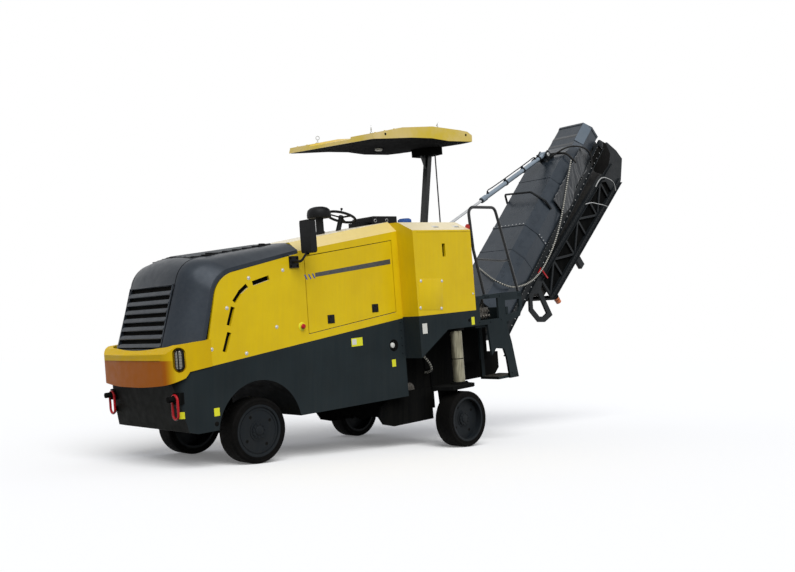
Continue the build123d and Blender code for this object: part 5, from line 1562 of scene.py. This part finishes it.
for piece, long_side, rests in ((flap, 1.31, ["lower_cover"]), (cloth, TARP_LENGTH / 1000, ["lower_cover"])):
    thick = piece.modifiers.new("cloth_thickness", "SOLIDIFY")
    thick.thickness = 0.002
    thick.offset = 1

# the tarp's rolled hem over the ridge
HEM = ((-3230, 420, 60), (-3250, 380, 190), (-3290, 290, 252), (-3310, 0, 262), (-3290, -290, 252),
       (-3250, -380, 190), (-3230, -420, 60))
tube("tarp_hem", HEM, 17, "lower_conveyor", hose_rubber, place=BELT)


# ---------------------------------------------------------------- luffing cylinder
# A welded steel barrel with a steel line clipped along it, and its chromed rod.
# The barrel's foot is pinned to the conveyor, and the rod's eye to the mast.
def bright_chrome():
    """Hard chrome kept bright by its wiper, with a faint haze in 20 mm patches."""
    made, tree, shader, place = begin("bright_hard_chrome")
    base = mixed(tree, speckle(tree, place, 20, 0, 1), "#d2d4d6", "#b1b3b5")
    tree.links.new(base, shader.inputs["Base Color"])
    tree.links.new(speckle(tree, place, 30, 0.08, 0.2), shader.inputs["Roughness"])
    shader.inputs["Metallic"].default_value = 1
    return made


rod_chrome = bright_chrome()
barrel_grey = enamel("grey_enamel_cylinder", "#8794a0", "#74818c", 0.05, gloss=0.32, coat=0.1)
finish(("lift_barrel",), barrel_grey)
finish(("lift_rod",), rod_chrome)
# the barrel's pin on the conveyor, at PIN_U and PIN_W, and the rod's eye on the mast: x, z
PIN_U, PIN_W = 3196, 345
PIN = (LUFF_X - PIN_U * math.cos(RISE) + PIN_W * math.sin(RISE),
       LUFF_Z + PIN_U * math.sin(RISE) + PIN_W * math.cos(RISE))
MAST_EYE = (-3800, 2455)
REACH = math.hypot(MAST_EYE[0] - PIN[0], MAST_EYE[1] - PIN[1])
ALONG = Vector(((MAST_EYE[0] - PIN[0]) / REACH, 0, (MAST_EYE[1] - PIN[1]) / REACH))
BARREL = aim((PIN[0], 0, PIN[1]), ALONG)


def on_barrel(t, y, rise):
    """A level-machine point t along the cylinder from its pin, y to the left and rise above its line."""
    lift = Vector((-ALONG.z, 0, ALONG.x))
    lift = lift if lift.z > 0 else -lift
    return Vector((PIN[0], y, PIN[1])) + ALONG * t + lift * rise


bm = bmesh.new()
for t in (160, 620, 1100):
    turned(bm, [(34, -14), (42, -14), (42, 14), (34, 14), (34, -14)],
           BARREL @ Matrix.Translation((0, 0, t)), 32)
    block(bm, (-16, -22, -16), (16, 22, 16), bevel=4, place=aim(on_barrel(t, 0, 44), ALONG))
for t in (250, 1560):
    turned(bm, [(0, 0), (24, 0), (24, 12), (15, 16), (15, 34), (0, 34)],
           aim(on_barrel(t, 0, 28), on_barrel(t, 0, 40) - on_barrel(t, 0, 28)), 6)
settle(bm, "barrel_clips", "lift_barrel", conveyor_dark)
# the oil line along the barrel: distance from the pin, rise over the cylinder's line
OIL_LINE = ((250, 60), (270, 74), (400, 66), (1100, 64), (1450, 66), (1540, 76), (1560, 60))
tube("barrel_line", [on_barrel(t, 0, rise) for t, rise in OIL_LINE], 8, "lift_barrel",
     conveyor_dark)
bm = bmesh.new()
for out in (-1, 1):
    turned(bm, [(0, 0), (30, 0), (30, 8), (26, 12), (0, 12)],
           aim((PIN[0], 76 * out, PIN[1]), (0, out, 0)), 24)
settle(bm, "barrel_pin_caps", "lower_conveyor", zinc_plate)


# ---------------------------------------------------------------- upper conveyor, folded underneath
# Welded braced sides with flanged edges and skirts, and idler rollers between them.
# An amber beacon stands on a rubber foot at the tail.
def amber():
    """Glossy amber polycarbonate, its colour a little uneven in 15 mm patches."""
    made, tree, shader, place = begin("amber_lens")
    base = mixed(tree, speckle(tree, place, 15, 0, 1), "#e0720c", "#b94f06")
    tree.links.new(base, shader.inputs["Base Color"])
    tree.links.new(speckle(tree, place, 20, 0.15, 0.3), shader.inputs["Roughness"])
    shader.inputs["Coat Weight"].default_value = 0.5
    return made


amber_lens = amber()
finish(("beacon",), amber_lens)
# the side frames in UPPER: from and to along the half, and their lower and upper edges
S0, S1, N0, N1 = 60, 2850, -645, -165
bm = bmesh.new()
for out in (-1, 1):
    y0, y1 = sorted((361 * out, 392 * out))
    for n in (N0, N0 + 84, N1 - 90, N1 - 6):
        block(bm, (S0, y0, n), (S1, y1, n + 6), bevel=1.5)
    for s in range(140, 2800, 60):
        for n in (N0 + 45, N1 - 45):
            turned(bm, [(0, 7), (8, 7), (9, 0), (0, 0)], aim((s, 365 * out, n), (0, out, 0)), 6)
settle(bm, "upper_flanges", "upper_conveyor", conveyor_dark, place=UPPER)
# the inner skirts that keep the millings on the belt, close behind the braces, near black: painted shade
# inside the frame
bm = bmesh.new()
for out in (-1, 1):
    y0, y1 = sorted((326 * out, 330 * out))
    block(bm, (S0 + 20, y0, N0 + 12), (S1 - 20, y1, N1 - 12), bevel=1)
settle(bm, "upper_skirts", "upper_conveyor", black_and_shade_low, place=UPPER)
bm = bmesh.new()
for s in range(240, 2850, 300):
    turned(bm, [(0, -330), (30, -330), (30, 330), (0, 330)], aim((s, 0, N0 + 85), (0, 1, 0)), 18)
settle(bm, "upper_idlers", "upper_conveyor", black_and_shade_low, place=UPPER)
# the beacon's rubber foot and the bead round its dome
BEACON = aim((2760, 350, N0), (0, 0, -1))
bm = bmesh.new()
turned(bm, [(0, 0), (46, 0), (48, 6), (48, 30), (44, 36), (0, 36)], BEACON, 28)
turned(bm, [(42, 64), (45, 66), (45, 72), (42, 74), (42, 64)], BEACON, 28)
settle(bm, "beacon_base", "upper_conveyor", black_rubber_and_shade, place=UPPER)
